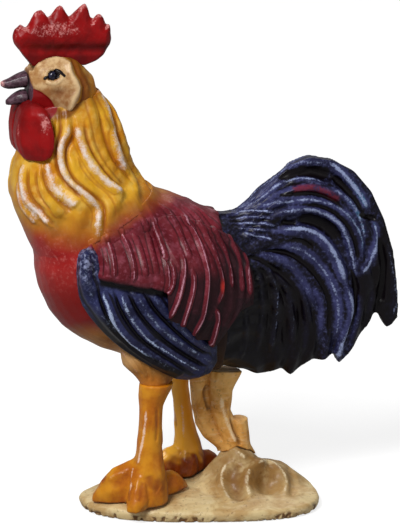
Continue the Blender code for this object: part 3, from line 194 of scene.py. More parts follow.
TAIL_RIDGES = (
    (
        ((228, 215), (243, 206), (256, 196), (272, 180), (285, 169), (299, 163), (318, 162.5), (329, 167)),
        1.0, 0.7, 0.5,
    ),
    (((326, 161), (338, 169), (350, 182), (360, 195), (368, 209)), 1.2, 0.7, 1.0),
    (((373, 219), (375, 233), (374.5, 249), (369, 262), (362, 274)), 1.1, 0.8, 1.0),
    (((386, 240), (391, 262), (395, 284), (396, 300), (392, 318)), 1.0, 0.5, 0.35),
    (((238, 213), (262, 198), (278, 185), (292, 180), (308, 179), (326, 184)), 0.8, 0.6, 0.6),
    (((262, 204), (280, 193), (296, 188), (312, 187.5), (325, 191), (338, 199)), 0.8, 0.5, 0.0),
    (
        (
            (250, 210), (270, 204), (290, 201), (308, 200), (325, 203), (340, 209), (352, 221), (360, 237),
            (362, 258),
        ),
        1.0, 0.7, 0.6,
    ),
    (((328, 187), (342, 195), (354, 207), (362, 224), (365, 240)), 0.8, 0.5, 0.6),
    (
        ((272, 215), (290, 211), (308, 209), (324, 213), (338, 222), (347, 236), (352, 254), (356, 276)),
        1.0, 0.7, 0.7,
    ),
    (((275, 232), (292, 229), (308, 231), (322, 239), (333, 253), (340, 268), (346, 284)), 1.3, 1.0, 1.0),
    (((346, 284), (350, 298), (351, 312), (347, 330), (341, 348), (337, 360)), 1.2, 0.9, 1.0),
    (
        ((272, 247), (292, 247), (308, 254), (321, 267), (331, 282), (337, 298), (338, 318), (334, 340)),
        1.1, 0.8, 0.5,
    ),
    (((256, 254), (277, 258), (292, 267), (303, 281), (310, 297), (313, 312)), 0.9, 0.6, 0.3),
    (((258, 262), (269, 272), (276, 288), (277, 305), (275, 325), (271, 350)), 0.7, 0.6, 0.3),
    (((274, 270), (286, 288), (291, 306), (293, 325), (291, 345)), 0.7, 0.5, 0.15),
    (((292, 278), (304, 295), (307, 314), (306, 334), (303, 353)), 0.7, 0.5, 0.1),
    (((312, 285), (320, 302), (321, 320), (318, 342)), 0.7, 0.5, 0.15),
    (((252, 262), (259, 277), (262, 300), (261, 325), (257, 350)), 0.7, 0.5, 0.1),
    (((244, 305), (246, 322), (245, 340), (241, 358)), 0.7, 0.4, 0.05),
    (((226, 312), (229, 328), (228, 345)), 0.7, 0.4, 0.05),
    (((366, 262), (370, 280), (371, 297), (367, 313)), 0.9, 0.5, 0.05),
    (((356, 290), (360, 305), (358, 322), (350, 342)), 0.8, 0.5, 0.1),
)
TAIL_SHEAF = (
    (((230, 216), (246, 211), (262, 211), (276, 212.5)), 0.45, 0.4, 0.9),
    (((232, 220), (248, 217), (262, 217), (273, 219)), 0.4, 0.35, 0.8),
    (((234, 224), (250, 223), (264, 223.5), (276, 226)), 0.45, 0.4, 0.9),
    (((237, 228), (251, 229), (264, 230), (272, 230)), 0.4, 0.35, 0.7),
    (((241, 232), (252, 235), (264, 237.5), (273, 240)), 0.5, 0.45, 1.0),
    (((230, 213), (244, 206), (258, 204), (272, 206)), 0.4, 0.3, 0.6),
)
TAIL_GROOVES = (
    (((280, 186), (290, 175), (302, 170), (316, 170), (328, 177)), 1.7, -0.5, 0.0),
    (((332, 176), (344, 187), (354, 198), (362, 211)), 1.0, -0.8, 0.0),
    (((358, 215), (368, 217), (376, 219)), 0.5, -0.8, 0.0),
    (((296, 222), (308, 219.5), (320, 222), (331, 229), (338, 239)), 1.5, -0.4, 0.0),
    (((282, 221), (288, 223.5), (296, 224)), 0.6, -0.8, 0.0),
    (((290, 240), (302, 241), (313, 248)), 0.5, -0.8, 0.0),
    (((275, 195), (292, 194), (312, 193.5), (330, 199), (345, 211)), 0.5, -0.7, 0.0),
    (((300, 205), (320, 206), (336, 214), (348, 227), (355, 243), (358, 262)), 0.5, -0.8, 0.0),
    (((262, 251), (284, 252), (300, 260), (314, 273), (325, 290), (330, 310), (328, 334)), 0.5, -0.9, 0.0),
    (((352, 270), (356, 290), (354, 310), (348, 330), (342, 350)), 0.6, -0.8, 0.0),
    (((250, 256), (264, 262), (282, 275), (297, 292), (300, 320), (297, 350)), 0.6, -0.6, 0.0),
    (((262, 268), (268, 285), (270, 310), (266, 345)), 0.6, -0.5, 0.0),
    (((280, 286), (285, 305), (284, 345)), 0.6, -0.5, 0.0),
    (((310, 300), (314, 322), (311, 350)), 0.6, -0.5, 0.0),
    (((380, 240), (384, 262), (383, 285), (378, 303)), 1.2, -1.0, 0.0),
    (((375, 265), (378, 285), (376, 305)), 1.0, -0.7, 0.0),
)
LEG_RIDGES = (
    (((147, 407), (145, 427), (142, 447), (137, 467)), 0.9, 0.25, 0.9),
    (((134, 464), (132, 480), (129, 495)), 0.9, 0.2, 0.5),
    (((129, 470), (112, 477), (99, 484)), 0.9, 0.2, 0.4),
    (((181, 400), (183, 420), (184, 440)), 0.9, 0.2, 0.7),
)
LEG_GROOVES = (
    (((96, 488), (99, 480), (106, 472)), 1.4, -0.2, 0.0),
    (((128, 503), (129, 494), (134, 484)), 0.9, -0.2, 0.0),
    (((143, 480), (141, 492), (139, 503)), 0.8, -0.2, 0.0),
    (((112, 489), (120, 482), (130, 474)), 1.2, -0.15, 0.0),
    (((148, 474), (152, 484), (160, 490)), 1.4, -0.25, 0.0),
    (((157, 407), (157.5, 425), (156.5, 443)), 0.5, -0.2, 0.0),
    (((168, 462), (180, 468), (192, 470)), 1.6, -0.25, 0.0),
    (((187, 450), (190, 460), (197, 466)), 1.2, -0.2, 0.0),
)
STUMP_RIDGES = (
    (((196, 388), (198, 405), (203, 425), (211, 441)), 1.2, 0.35, 0.3),
    (((221, 394), (223, 410), (229, 426), (237, 444)), 1.3, 0.35, 0.9),
    (((237, 420), (243, 435), (250, 450)), 1.2, 0.3, 0.3),
)
STUMP_GROOVES = (
    (((208, 382), (204, 393), (206, 402), (210, 412)), 0.6, -0.6, 0.0),
    (((212, 414), (216, 428), (223, 442)), 0.4, -0.3, 0.0),
    (((230, 415), (234, 430), (241, 447)), 0.5, -0.6, 0.0),
    (((201, 390), (203, 404), (207, 418)), 0.3, -0.25, 0.0),
    (((193, 396), (196, 412), (202, 427)), 0.3, -0.25, 0.0),
    (((226, 396), (227, 410), (232, 425)), 0.3, -0.25, 0.0),
)
GROUND_RIDGES = (
    (((227, 461), (222, 476), (224, 489), (231, 503)), 1.1, 0.55, 0.7),
    (((253, 466), (262, 461.5), (272, 463), (281, 471), (286, 484), (284, 496)), 1.1, 0.7, 0.75),
    (((219, 452), (227, 447), (238, 452), (246, 460)), 1.2, 0.5, 0.5),
    (((250, 467), (246.5, 482), (250, 498)), 1.1, 0.6, 0.7),
    (((201, 476), (208, 466), (217, 457)), 1.0, 0.3, 0.3),
)
GROUND_GROOVES = (
    (((237, 463), (233, 477), (235, 489), (241, 501)), 1.9, -0.9, 0.0),
    (((289, 466), (294, 480), (292, 496)), 1.2, -0.5, 0.0),
    (((212, 470), (214, 484), (219, 497)), 0.8, -0.4, 0.0),
    (((192, 478), (199, 488), (213, 494)), 0.9, -0.3, 0.0),
)
THIGH_RIDGES = (
    (((119, 346), (127, 359), (138, 375)), 0.5, 0.25, 0.7),
    (((130, 349), (139, 363), (145, 380)), 0.45, 0.25, 0.5),
    (((141, 356), (149, 368), (152, 383)), 0.45, 0.22, 0.4),
    (((125, 349), (133, 362), (141, 378)), 0.4, -0.3, 0.0),
    (((136, 353), (145, 367), (149, 382)), 0.4, -0.3, 0.0),
)

# How a stroke dies away: its reach and its foot in half widths, the shares of its length that its
# start and end take, and what is left of its width and height there.
STROKE_REACH = 2.2
STROKE_FOOT = 1.7
STROKE_START = 0.16
STROKE_END = 0.1
END_WIDTH = 0.55
END_HEIGHT = 0.25

# Valley beside a ridge, where shade is painted: its inner and outer edge in half widths, as (place,
# softness), and the height in mm that fills it.
VALLEY_START = (0.8, 0.5)
VALLEY_END = (STROKE_REACH, -0.8)
VALLEY_FILL = 0.3

# Width of the light paint and painted highlight on the ridges, as a share of a ridge's own.
NECK_BRUSH = 1.6
WING_BRUSH = 0.6
BACK_BRUSH = 0.5

# Ends of the glue joints in the side view, as (x, z) of the front and rear end in mm.
HEAD_SEAM = ((-43.9, 104.5), (-25.7, 108.2))
BREAST_SEAM = ((-43.3, 68.0), (-13.3, 83.7))
TAIL_SEAM = ((2.6, 34.4), (2.35, 75.3))
TOWARDS_TAIL = 1.0
TOWARDS_THROAT = -1.0

# Outlines and lines in the photograph's frame.
FACE_PATCH = (
    (25, 66), (31, 61), (38, 57.5), (47, 56), (55, 56), (63, 57.5), (69.5, 61), (72.5, 68), (75, 75),
    (79, 81), (81.5, 87), (80, 94), (75, 100), (70, 106), (65, 110), (60, 110.5), (56, 106.5), (51, 101),
    (41, 93), (34, 90), (31, 85), (28, 75),
)
FACE_RIM = ((69, 65), (70.5, 73), (74, 80), (77.5, 87), (76.5, 93), (72, 98), (67, 103), (62, 107))
BROW = ((35, 66), (42, 61), (52, 59), (62, 60.5), (69, 66))
EYE_LID = ((45.3, 79), (48, 75), (51, 72), (54.5, 70.8), (58.5, 71.8), (64, 76.2))
LOWER_LID = ((47.5, 82), (52, 83.5), (58, 82.5), (62, 79))
THROAT = (
    (31, 88), (40, 90), (50, 96), (58, 107), (56, 113), (49, 121), (14, 124), (17, 107), (24, 98), (29, 92),
)
HORN_PATCH = ((18, 62), (25.5, 68), (28, 74), (31, 82), (33.5, 88), (33, 97), (30, 105), (18, 106))
WING_LOW_EDGE = (
    (92, 236), (101, 262), (100, 287), (113, 320), (140, 348), (195, 372), (150, 395), (60, 330), (60, 236),
)
TAIL_FOOT = ((200, 262), (262, 262), (292, 272), (312, 300), (322, 340), (330, 380), (200, 390))
TAIL_REAR = (
    (352, 276), (372, 268), (380, 225), (372, 190), (410, 180), (410, 340), (360, 370), (346, 362),
    (358, 310),
)
RED_STREAK = ((296, 189), (312, 188), (325, 192), (336, 198))

# Oval patches in the photograph's frame: middle, half width, half height and firmness.
BELLY_TAN = (126.0, 358.0, 20.0, 18.0, 1.2)
SADDLE_GLINT = (223.0, 288.0, 3.0, 14.0, 1.0)
# CHEEK also places the painted shade in the cheek's hollow.
CHEEK = (60.0, 93.0, 13.0, 8.0, 1.0)
CHIN_SHADE = (57.0, 114.0, 11.0, 12.0, 1.3)
EYE_SPOT = (53.2, 76.0, 6.4, 4.6)
# Pink painted highlights on the comb's upper middle and on its tips.
COMB_HIGHLIGHT = (56.0, 30.0, 40.0, 13.0, 1.3)
COMB_TIP_HIGHLIGHTS = ((35, 14), (49, 10), (64.5, 7), (81, 9), (87, 5), (101, 14), (108, 25))
COMB_TIP_HIGHLIGHT_SIZE = (2.6, 5.5, 1.4)
WATTLE_OVAL = (35.5, 132.0, 19.5, 29.0)
# Pink painted highlight on the wattle.
WATTLE_HIGHLIGHT = (46.0, 125.0, 9.0, 17.0, 1.3)
TAIL_TEAL = (362.0, 205.0, 22.0, 62.0, 1.0)
MOUND_EARTH = (250.0, 470.0, 66.0, 36.0, 1.5)
FOOT_SHADES = ((99, 480, 20, 13), (162, 482, 26, 15), (190, 463, 26, 16))
GROUND_BOWL = (267, 483)

# Edges of painted or sunken zones in the photograph's frame, as (place, softness) in pixels. A zone
# lies right of or below its edge, or left of or above it where the softness is negative. A pair of
# edges is across first and down second. Each dark tip also has how dark it is.
THIGH_AMBER = ((172.0, -20.0), (370.0, 14.0))
THIGH_CLEAN = ((180.0, -10.0), (362.0, 8.0))
BREAST_BROWN_REAR = (118.0, -30.0)
BACK_UMBER_FRONT = (92.0, 12.0)
SHOULDER_BROWN_FRONT = (96.0, 14.0)
TIPS_FRONT = (152.0, 8.0)
RED_LOW = (262.0, 45.0)
MAROON_FRONT = (88.0, 12.0)
MAROON_END = (392.0, -10.0)
DARK_TIPS = (
    (1.0, ((222.0, 16.0), (288.0, 12.0))),
    (1.0, ((205.0, 12.0), (330.0, 12.0))),
    (0.9, ((198.0, 12.0), (292.0, 14.0))),
    (0.9, ((204.0, 28.0), (208.0, 50.0))),
)
WING_PALE = ((101.0, -7.0), (292.0, -24.0))
WING_ROOT = ((92.0, 8.0), (272.0, -26.0))
WING_TOP = (256.0, -12.0)
WING_LOW_SHADE = (300.0, 30.0)
WING_END_SHADE = (325.0, 35.0)
COVERT_SHADOW_FRONT = (98.0, 3.0)
# Edge of the painted shade behind the face's rim.
CHEEK_REAR = (52.0, 12.0)
NECK_SHADE_FRONT = (46.0, 6.0)
# Edges of the darker paint along the face's front edge and of the painted shade low on the face.
FACE_FRONT = (50.0, -8.0)
FACE_LOWER = (84.0, 8.0)
COMB_SHADOW_FRONT = (30.0, 20.0)
# Edge of the painted shade at the comb's foot.
COMB_FOOT = (50.0, 8.0)
WATTLE_FRONT = (30.0, -10.0)
WATTLE_SHADE = (112.0, -8.0)
WATTLE_TOP = (117.0, -12.0)
COVERTS_TOP = (274.0, -30.0)
COVERTS_FRONT_TOP = ((112.0, -14.0), (282.0, -12.0))
COVERTS_FRONT = (109.0, -12.0)
SADDLE_TOP = (272.0, -44.0)
SADDLE_GAPS = (262.0, 22.0)
SADDLE_BRIGHT = (245.0, 25.0)

# Straight stripes in the photograph's frame, as (line, reach) in pixels.
COMB_FULL = (38.0, 12.0)
COMB_WAIST = (50.0, 7.0)
COMB_SHADOW = (47.5, 9.0)
# Painted highlights along the front edge of the comb and of the wattle.
COMB_FRONT_HIGHLIGHT = ((16.5, 2.5), (36.0, 12.0))
WATTLE_FRONT_HIGHLIGHT = ((18.5, 2.5), (128.0, 20.0))
EAR_LOBE = (63.0, 13.0)

# Sloping edges: a pixel that the edge passes and how far it sinks for each pixel to the right.
GOLD_EDGE_FRONT = (90.0, 247.0, 0.22)
GOLD_EDGE_REAR = (90.0, 247.0, -0.62)
BREAST_BROWN_EDGE = (60.0, 196.0, 0.1)
BELLY_EDGE = (60.0, 322.0, -0.1)
SADDLE_TIPS_EDGE = (160.0, 284.0, 0.42)
COVERT_EDGE = (97.0, 279.0, 0.18)
WING_ROSY_EDGE = (88.0, 251.0, 0.2)

# In pixels: over how many the gold fades out and the maroon in, how far both run past their common
# edge, how far the umber band lies above it, and how far the painted shadow along the coverts' edge
# reaches below it and above it.
GOLD_SOFTNESS = 32.0
MAROON_SOFTNESS = 26.0
OVERLAP = 13.0
UMBER_RISE = 4.0
COVERT_SHADOW = 9.0
COVERT_SHADOW_ABOVE = 3.0

# The thighs narrow by a share round the ankles, within a reach and below a height, as (place,
# softness) in mm. The legs are drawn up into them from LEG_TOP on.
ANKLE_SHRINK = 0.3
ANKLE_REACH = (9.0, -2.0)
THIGH_END = (42.0, -9.0)
LEG_TOP = np.array([0.0, 0.0, 34.0])
UPWARD = np.array([0.0, 0.0, 1.0])

# Height in mm at which the comb's points begin, the rear end of the ear lobes, half the gap between the
# wattles, and the share of its solid that an eye fills.
COMB_POINTS_HEIGHT = (119.5, 3.0)
EAR_LOBE_REAR = -26.0
WATTLE_GAP = 0.15
EYE_FILL = 0.94

# The studio, in metres and watts. A lamp has its name, place, size and power. The camera's sensor is
# in mm.
WHITE = (1.0, 1.0, 1.0)
FLOOR_SIZE = 6.0
FLOOR_COLOUR = (0.4, 0.4, 0.4)
FLOOR_ROUGHNESS = 0.9
FLOOR_SPECULAR = 0.1
FLOOR_GLOW = 0.74
AIR_LIGHT = 0.2
LAMP_AIM = (0.0, 0.0, 0.07)
LAMPS = (
    ("key_lamp", (-0.62, -0.62, 0.92), 0.4, 12.5),
    ("fill_lamp", (0.7, -0.9, 0.5), 0.9, 1.2),
    ("rim_lamp", (0.3, 0.8, 0.9), 0.6, 3.0),
)
SENSOR_WIDTH = 36.0
NEAREST_SEEN = 0.01


def smooth_path(points, step):
    """Points about a step apart along a smooth curve through a few points."""
    points = np.array(points, float)
    ends = np.vstack([2 * points[0] - points[1], points, 2 * points[-1] - points[-2]])
    route = []
    for index in range(len(points) - 1):
        before, start, end, after = ends[index : index + 4]
        count = max(2, int(np.linalg.norm(end - start) / step))
        for part in np.arange(count) / count:
            pull = (end - before) * part + (2 * before - 5 * start + 4 * end - after) * part**2
            pull = pull + (3 * start - before - 3 * end + after) * part**3
            route.append(start + 0.5 * pull)
    route.append(points[-1])
    return np.array(route)


def seam_middle(seam):
    """Middle of a glue joint in mm."""
    (front_x, front_z), (rear_x, rear_z) = seam
    return np.array([(front_x + rear_x) / 2.0, 0.0, (front_z + rear_z) / 2.0])


def seam_way(seam):
    """Direction across a glue joint, from the throat towards the tail."""
    (front_x, front_z), (rear_x, rear_z) = seam
    way = np.array([rear_z - front_z, 0.0, front_x - rear_x])
    return way / np.linalg.norm(way)


def view_ray(pixel):
    """Direction from the camera through a pixel of the photograph."""
    across = TO_RIGHT * ((pixel[0] - PHOTO_MIDDLE[0]) * PIXEL)
    upward = TO_TOP * ((PHOTO_MIDDLE[1] - pixel[1]) * PIXEL)
    return (VIEW_AIM + across + upward - VIEW_PLACE).normalized()


def in_photo(points):
    """Pixels of the photograph at which points in mm are seen."""
    rays = points * MM - np.array(VIEW_PLACE)
    depth = -rays @ np.array(TO_BACK)
    aim = np.array(VIEW_AIM - VIEW_PLACE)
    across = rays @ np.array(TO_RIGHT) * VIEW_DISTANCE / depth - aim @ np.array(TO_RIGHT)
    upward = rays @ np.array(TO_TOP) * VIEW_DISTANCE / depth - aim @ np.array(TO_TOP)
    return np.stack([PHOTO_MIDDLE[0] + across / PIXEL, PHOTO_MIDDLE[1] - upward / PIXEL], axis=1)


def solid_tree(names):
    """Search tree over some of the CAD solids."""
    points = []
    faces = []
    for name in names:
        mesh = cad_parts[name].data
        first = len(points)
        points += [vertex.co[:] for vertex in mesh.vertices]
        faces += [[first + corner for corner in polygon.vertices] for polygon in mesh.polygons]
    return BVHTree.FromPolygons(points, faces)


def on_near_side(points):
    """The points with those of the far side mirrored to the side that the photograph shows."""
    mirrored = points.copy()
    mirrored[:, 1] = -np.abs(points[:, 1])
    return mirrored


def laid_point(pixel, tree):
    """Place in mm on the solids, below a pixel of the photograph."""
    place = tree.ray_cast(VIEW_PLACE, view_ray(pixel))[0]
    if place is None:
        place = tree.find_nearest(VIEW_PLACE + view_ray(pixel) * VIEW_DISTANCE)[0]
    return place / MM


def laid_path(pixels, tree):
    """Path in mm over the solids, below the pixels that it passes in the photograph."""
    return np.array([laid_point(pixel, tree) for pixel in smooth_path(pixels, STROKE_STEP)])


def path_distance(points, route):
    """Distance of each point to a route and how far along it the nearest place is, 0 to 1."""
    best = np.full(len(points), np.inf)
    along = np.zeros(len(points))
    count = len(route) - 1
    for index in range(count):
        start = route[index]
        span = route[index + 1] - start
        part = np.clip((points - start) @ span / max(span @ span, 1e-9), 0.0, 1.0)
        away = np.linalg.norm(points - start - part[:, None] * span, axis=1)
        closer = away < best
        best[closer] = away[closer]
        along[closer] = (index + part[closer]) / count
    return best, along


def near_line(pixels, line):
    """Distance of each pixel to a smooth line in the photograph."""
    route = smooth_path(line, LINE_STEP)
    return path_distance(np.c_[pixels, np.zeros(len(pixels))], np.c_[route, np.zeros(len(route))])[0]


def inside_patch(pixels, outline):
    """Signed distance in pixels to a closed outline, positive inside."""
    corners = np.array(outline, float)
    inside = np.zeros(len(pixels), bool)
    best = np.full(len(pixels), np.inf)
    for index in range(len(corners)):
        start = corners[index]
        end = corners[(index + 1) % len(corners)]
        span = end - start
        part = np.clip((pixels - start) @ span / (span @ span), 0.0, 1.0)
        best = np.minimum(best, np.linalg.norm(pixels - start - part[:, None] * span, axis=1))
        crosses = (start[1] > pixels[:, 1]) != (end[1] > pixels[:, 1])
        reach = start[0] + (pixels[:, 1] - start[1]) * span[0] / (span[1] if span[1] else 1e-9)
        inside ^= crosses & (pixels[:, 0] < reach)
    return np.where(inside, best, -best)


def ease(value):
    """Smooth way from 0 to 1, flat beyond both."""
    value = np.clip(value, 0.0, 1.0)
    return value * value * (3.0 - 2.0 * value)


def beyond(value, edge, softness):
    """0 up to an edge and 1 from a softness past it, or below it where the softness is negative."""
    return ease((value - edge) / softness)


def within(away, reach, firmness=1.0):
    """1 at no distance and 0 from a reach on. A firmness over 1 widens the middle."""
    return ease(firmness - firmness * away / reach)


def stripe(value, line, reach, firmness=1.0):
    """1 on a line and 0 from a reach on either side of it."""
    return within(np.abs(value - line), reach, firmness)


def oval_distance(pixels, x, y, half_width, half_height):
    """Distance to the middle of an oval, 1 on its outline."""
    return np.hypot((pixels[:, 0] - x) / half_width, (pixels[:, 1] - y) / half_height)


def spot(pixels, oval):
    """1 in the middle of an oval patch and 0 outside it. A firmness over 1 widens the middle."""
    *place, firmness = oval
    return within(oval_distance(pixels, *place), 1.0, firmness)


def corner(pixels, edges):
    """Zone that lies past one edge across and past another down."""
    return beyond(pixels[:, 0], *edges[0]) * beyond(pixels[:, 1], *edges[1])


def crossing(pixels, stripes):
    """Patch where an upright stripe crosses a level one."""
    return stripe(pixels[:, 0], *stripes[0]) * stripe(pixels[:, 1], *stripes[1])


def sloping(across, edge):
    """Height of a sloping edge at each place across the photograph."""
    x, y, slope = edge
    return y + (across - x) * slope


def strongest(first, *others):
    """The largest of several shares at each point."""
    for other in others:
        first = np.maximum(first, other)
    return first


def hills(points, size, seed):
    """Soft uneven swell of hand-carved wood, from a few crossing waves, about -1 to 1."""
    swell = np.zeros(len(points))
    # The numbers below only keep the waves out of step with each other.
    for wave in range(5):
        turn = seed * 1.7 + wave * 2.399
        rise = math.sin(seed * 0.9 + wave * 1.3)
        way = np.array([math.cos(turn), math.sin(turn), rise])
        rate = math.tau / (size * (0.7 + 0.23 * wave))
        swell += np.sin(points @ way * rate / np.linalg.norm(way) + seed + wave * 1.9)
    return swell / 3.2


class Carving:
    """A copy of a CAD solid as one fine mesh, with the strokes that lift and paint it. All in mm."""

    def __init__(self, name, node, grain, soften):
        """Grain is the size of its mesh's cells and soften how often they are smoothed."""
        self.node = node
        bpy.ops.object.select_all(action="DESELECT")
        self.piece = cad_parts[node].copy()
        self.piece.data = self.piece.data.copy()
        self.piece.name = name
        self.piece.data.name = name
        bpy.context.scene.collection.objects.link(self.piece)
        self.piece.parent = None
        self.piece.select_set(True)
        bpy.context.view_layer.objects.active = self.piece
        bpy.ops.object.mode_set(mode="EDIT")
        bpy.ops.mesh.select_all(action="SELECT")
        bpy.ops.mesh.remove_doubles(threshold=MERGE_DISTANCE)
        bpy.ops.object.mode_set(mode="OBJECT")
        modifier = self.piece.modifiers.new("grain", "REMESH")
        modifier.mode = "VOXEL"
        modifier.voxel_size = grain * MM
        modifier.use_smooth_shade = True
        bpy.ops.object.modifier_apply(modifier=modifier.name)
        modifier = self.piece.modifiers.new("soften", "SMOOTH")
        modifier.factor = 0.5
        modifier.iterations = soften
        bpy.ops.object.modifier_apply(modifier=modifier.name)
        self.read()

    def read(self):
        """Take the points and normals from the mesh, with no lift, slide or paint yet."""
        mesh = self.piece.data
        count = len(mesh.vertices)
        flat = np.empty(count * 3)
        mesh.vertices.foreach_get("co", flat)
        self.points = flat.reshape(-1, 3) / MM
        mesh.vertices.foreach_get("normal", flat)
        self.normals = flat.reshape(-1, 3).copy()
        self.near = on_near_side(self.points)
        self.lift = np.zeros(count)
        self.slide = np.zeros((count, 3))
        self.crest = np.zeros(count)
        self.painted_shade = np.zeros(count)
        self.valley_shade = np.zeros(count)
        self.zones = {}

    def seen(self):
        """Photo pixels of the points where they end up, all taken on the near side."""
        return in_photo(on_near_side(self.points + self.slide))

    def strokes(self, table, tree, both_sides=True, brush=0.75):
        """Rounded ridges and grooves along a table's strokes, with paint and painted highlight on the
        ridges.
        """
        points = self.near if both_sides else self.points
        ridge = np.zeros(len(points))
        groove = np.zeros(len(points))
        beside = np.zeros(len(points))
        for pixels, half_width, height, paint in table:
            route = laid_path(pixels, tree)
            reach = STROKE_REACH * half_width
            low = route.min(axis=0) - reach
            high = route.max(axis=0) + reach
            close = np.where(np.all((points > low) & (points < high), axis=1))[0]
            if not len(close):
                continue
            away, along = path_distance(points[close], route)
            ends = ease(along / STROKE_START) * ease((1.0 - along) / STROKE_END)
            width = half_width * (END_WIDTH + (1.0 - END_WIDTH) * ends)
            across = np.clip(away / (STROKE_FOOT * width), 0.0, 1.0)
            form = height * (1.0 - across**2) ** 2 * (END_HEIGHT + (1.0 - END_HEIGHT) * ends)
            if height < 0.0:
                groove[close] = np.minimum(groove[close], form)
                continue
            ridge[close] = np.maximum(ridge[close], form)
            # Light paint on the ridge's top, which also serves as its painted highlight.
            line = within(away, brush * width)
            self.crest[close] = np.maximum(self.crest[close], paint * line * ends)
            # Painted shade beside the ridge.
            foot = beyond(away / width, *VALLEY_START) * beyond(away / width, *VALLEY_END)
            beside[close] = np.maximum(beside[close], foot * ends)
        self.lift += ridge + groove
        # Painted shade in the grooves and beside the ridges.
        self.painted_shade = np.maximum(self.painted_shade, np.clip(-groove, 0.0, 1.0))
        self.valley_shade = beside * beyond(ridge + groove, VALLEY_FILL, -VALLEY_FILL)

    def swell(self, height, size, seed):
        """Uneven surface with hills of about a size."""
        self.lift += height * hills(self.points, size, seed)

    def sink(self, share, depth):
        """Move part of a plate towards the middle of the bird, so that it runs into the body."""
        self.slide[:, 1] -= np.sign(self.points[:, 1]) * share * depth

    def stretch(self, place, way, reach, length, share=1.0):
        """Draw the end of the piece, or a share of it, out along a way."""
        away = (place - self.points) @ way
        self.slide += (length * share * within(away, reach))[:, None] * way

    def cover(self, seam, side, reach, length, share=1.0):
        """Draw the piece out over a glue joint, so that its neighbour covers the gap."""
        self.stretch(seam_middle(seam), side * seam_way(seam), reach, length, share)

    def tuck(self, seam, side, reach, depth):
        """Let the surface dip under its neighbour beside a glue joint."""
        away = (self.points - seam_middle(seam)) @ seam_way(seam) * side
        self.lift -= depth * within(away, reach)

    def zone(self, name, values):
        """Named share of paint, stored on the points."""
        self.zones[name] = np.clip(values, 0.0, 1.0)

    def apply(self):
        """Move the points out by their lift, inside the figure's box, and store the paint."""
        moved = (self.points + self.normals * self.lift[:, None] + self.slide) * MM
        moved = np.clip(moved, np.array(solid_box[0]), np.array(solid_box[1]))
        mesh = self.piece.data
        mesh.vertices.foreach_set("co", moved.astype(np.float32).ravel())
        paints = {"crest": self.crest, "painted_shade": self.painted_shade, "valley_shade": self.valley_shade, **self.zones}
        for name, values in paints.items():
            layer = mesh.attributes.new(name, "FLOAT", "POINT")
            layer.data.foreach_set("value", values.astype(np.float32))
        mesh.update()
        for polygon in mesh.polygons:
            polygon.use_smooth = True


class Wire:
    """A socket whose arithmetic adds the Math nodes that do it."""

    def __init__(self, recipe, socket):
        self.recipe = recipe
        self.socket = socket

    def maths(self, operation, first, second):
        """Result of one Math node."""
        node = self.recipe.tree.nodes.new("ShaderNodeMath")
        node.operation = operation
        self.recipe.feed(node.inputs[0], first)
        self.recipe.feed(node.inputs[1], second)
        return Wire(self.recipe, node.outputs[0])

    def __add__(self, other):
        return self.maths("ADD", self, other)

    def __radd__(self, other):
        return self.maths("ADD", other, self)

    def __sub__(self, other):
        return self.maths("SUBTRACT", self, other)

    def __rsub__(self, other):
        return self.maths("SUBTRACT", other, self)

    def __mul__(self, other):
        return self.maths("MULTIPLY", self, other)

    def __rmul__(self, other):
        return self.maths("MULTIPLY", other, self)


class Recipe:
    """Nodes under construction, of a paint or of the studio."""

    def __init__(self, tree):
        self.tree = tree

    def feed(self, socket, value):
        """Link a wire to a socket, or set the socket's own value."""
        if isinstance(value, Wire):
            self.tree.links.new(value.socket, socket)
        elif isinstance(value, tuple) and len(value) == 3 and socket.type == "RGBA":
            socket.default_value = (*value, 1.0)
        else:
            socket.default_value = value

    def add(self, kind, settings=None, output=0, **values):
        """Node of a type, with its settings first and then the values or links of its sockets."""
        node = self.tree.nodes.new(kind)
        for name, value in (settings or {}).items():
            setattr(node, name, value)
        for name, value in values.items():
            self.feed(node.inputs[name.replace("_", " ")], value)
        return Wire(self, node.outputs[output])


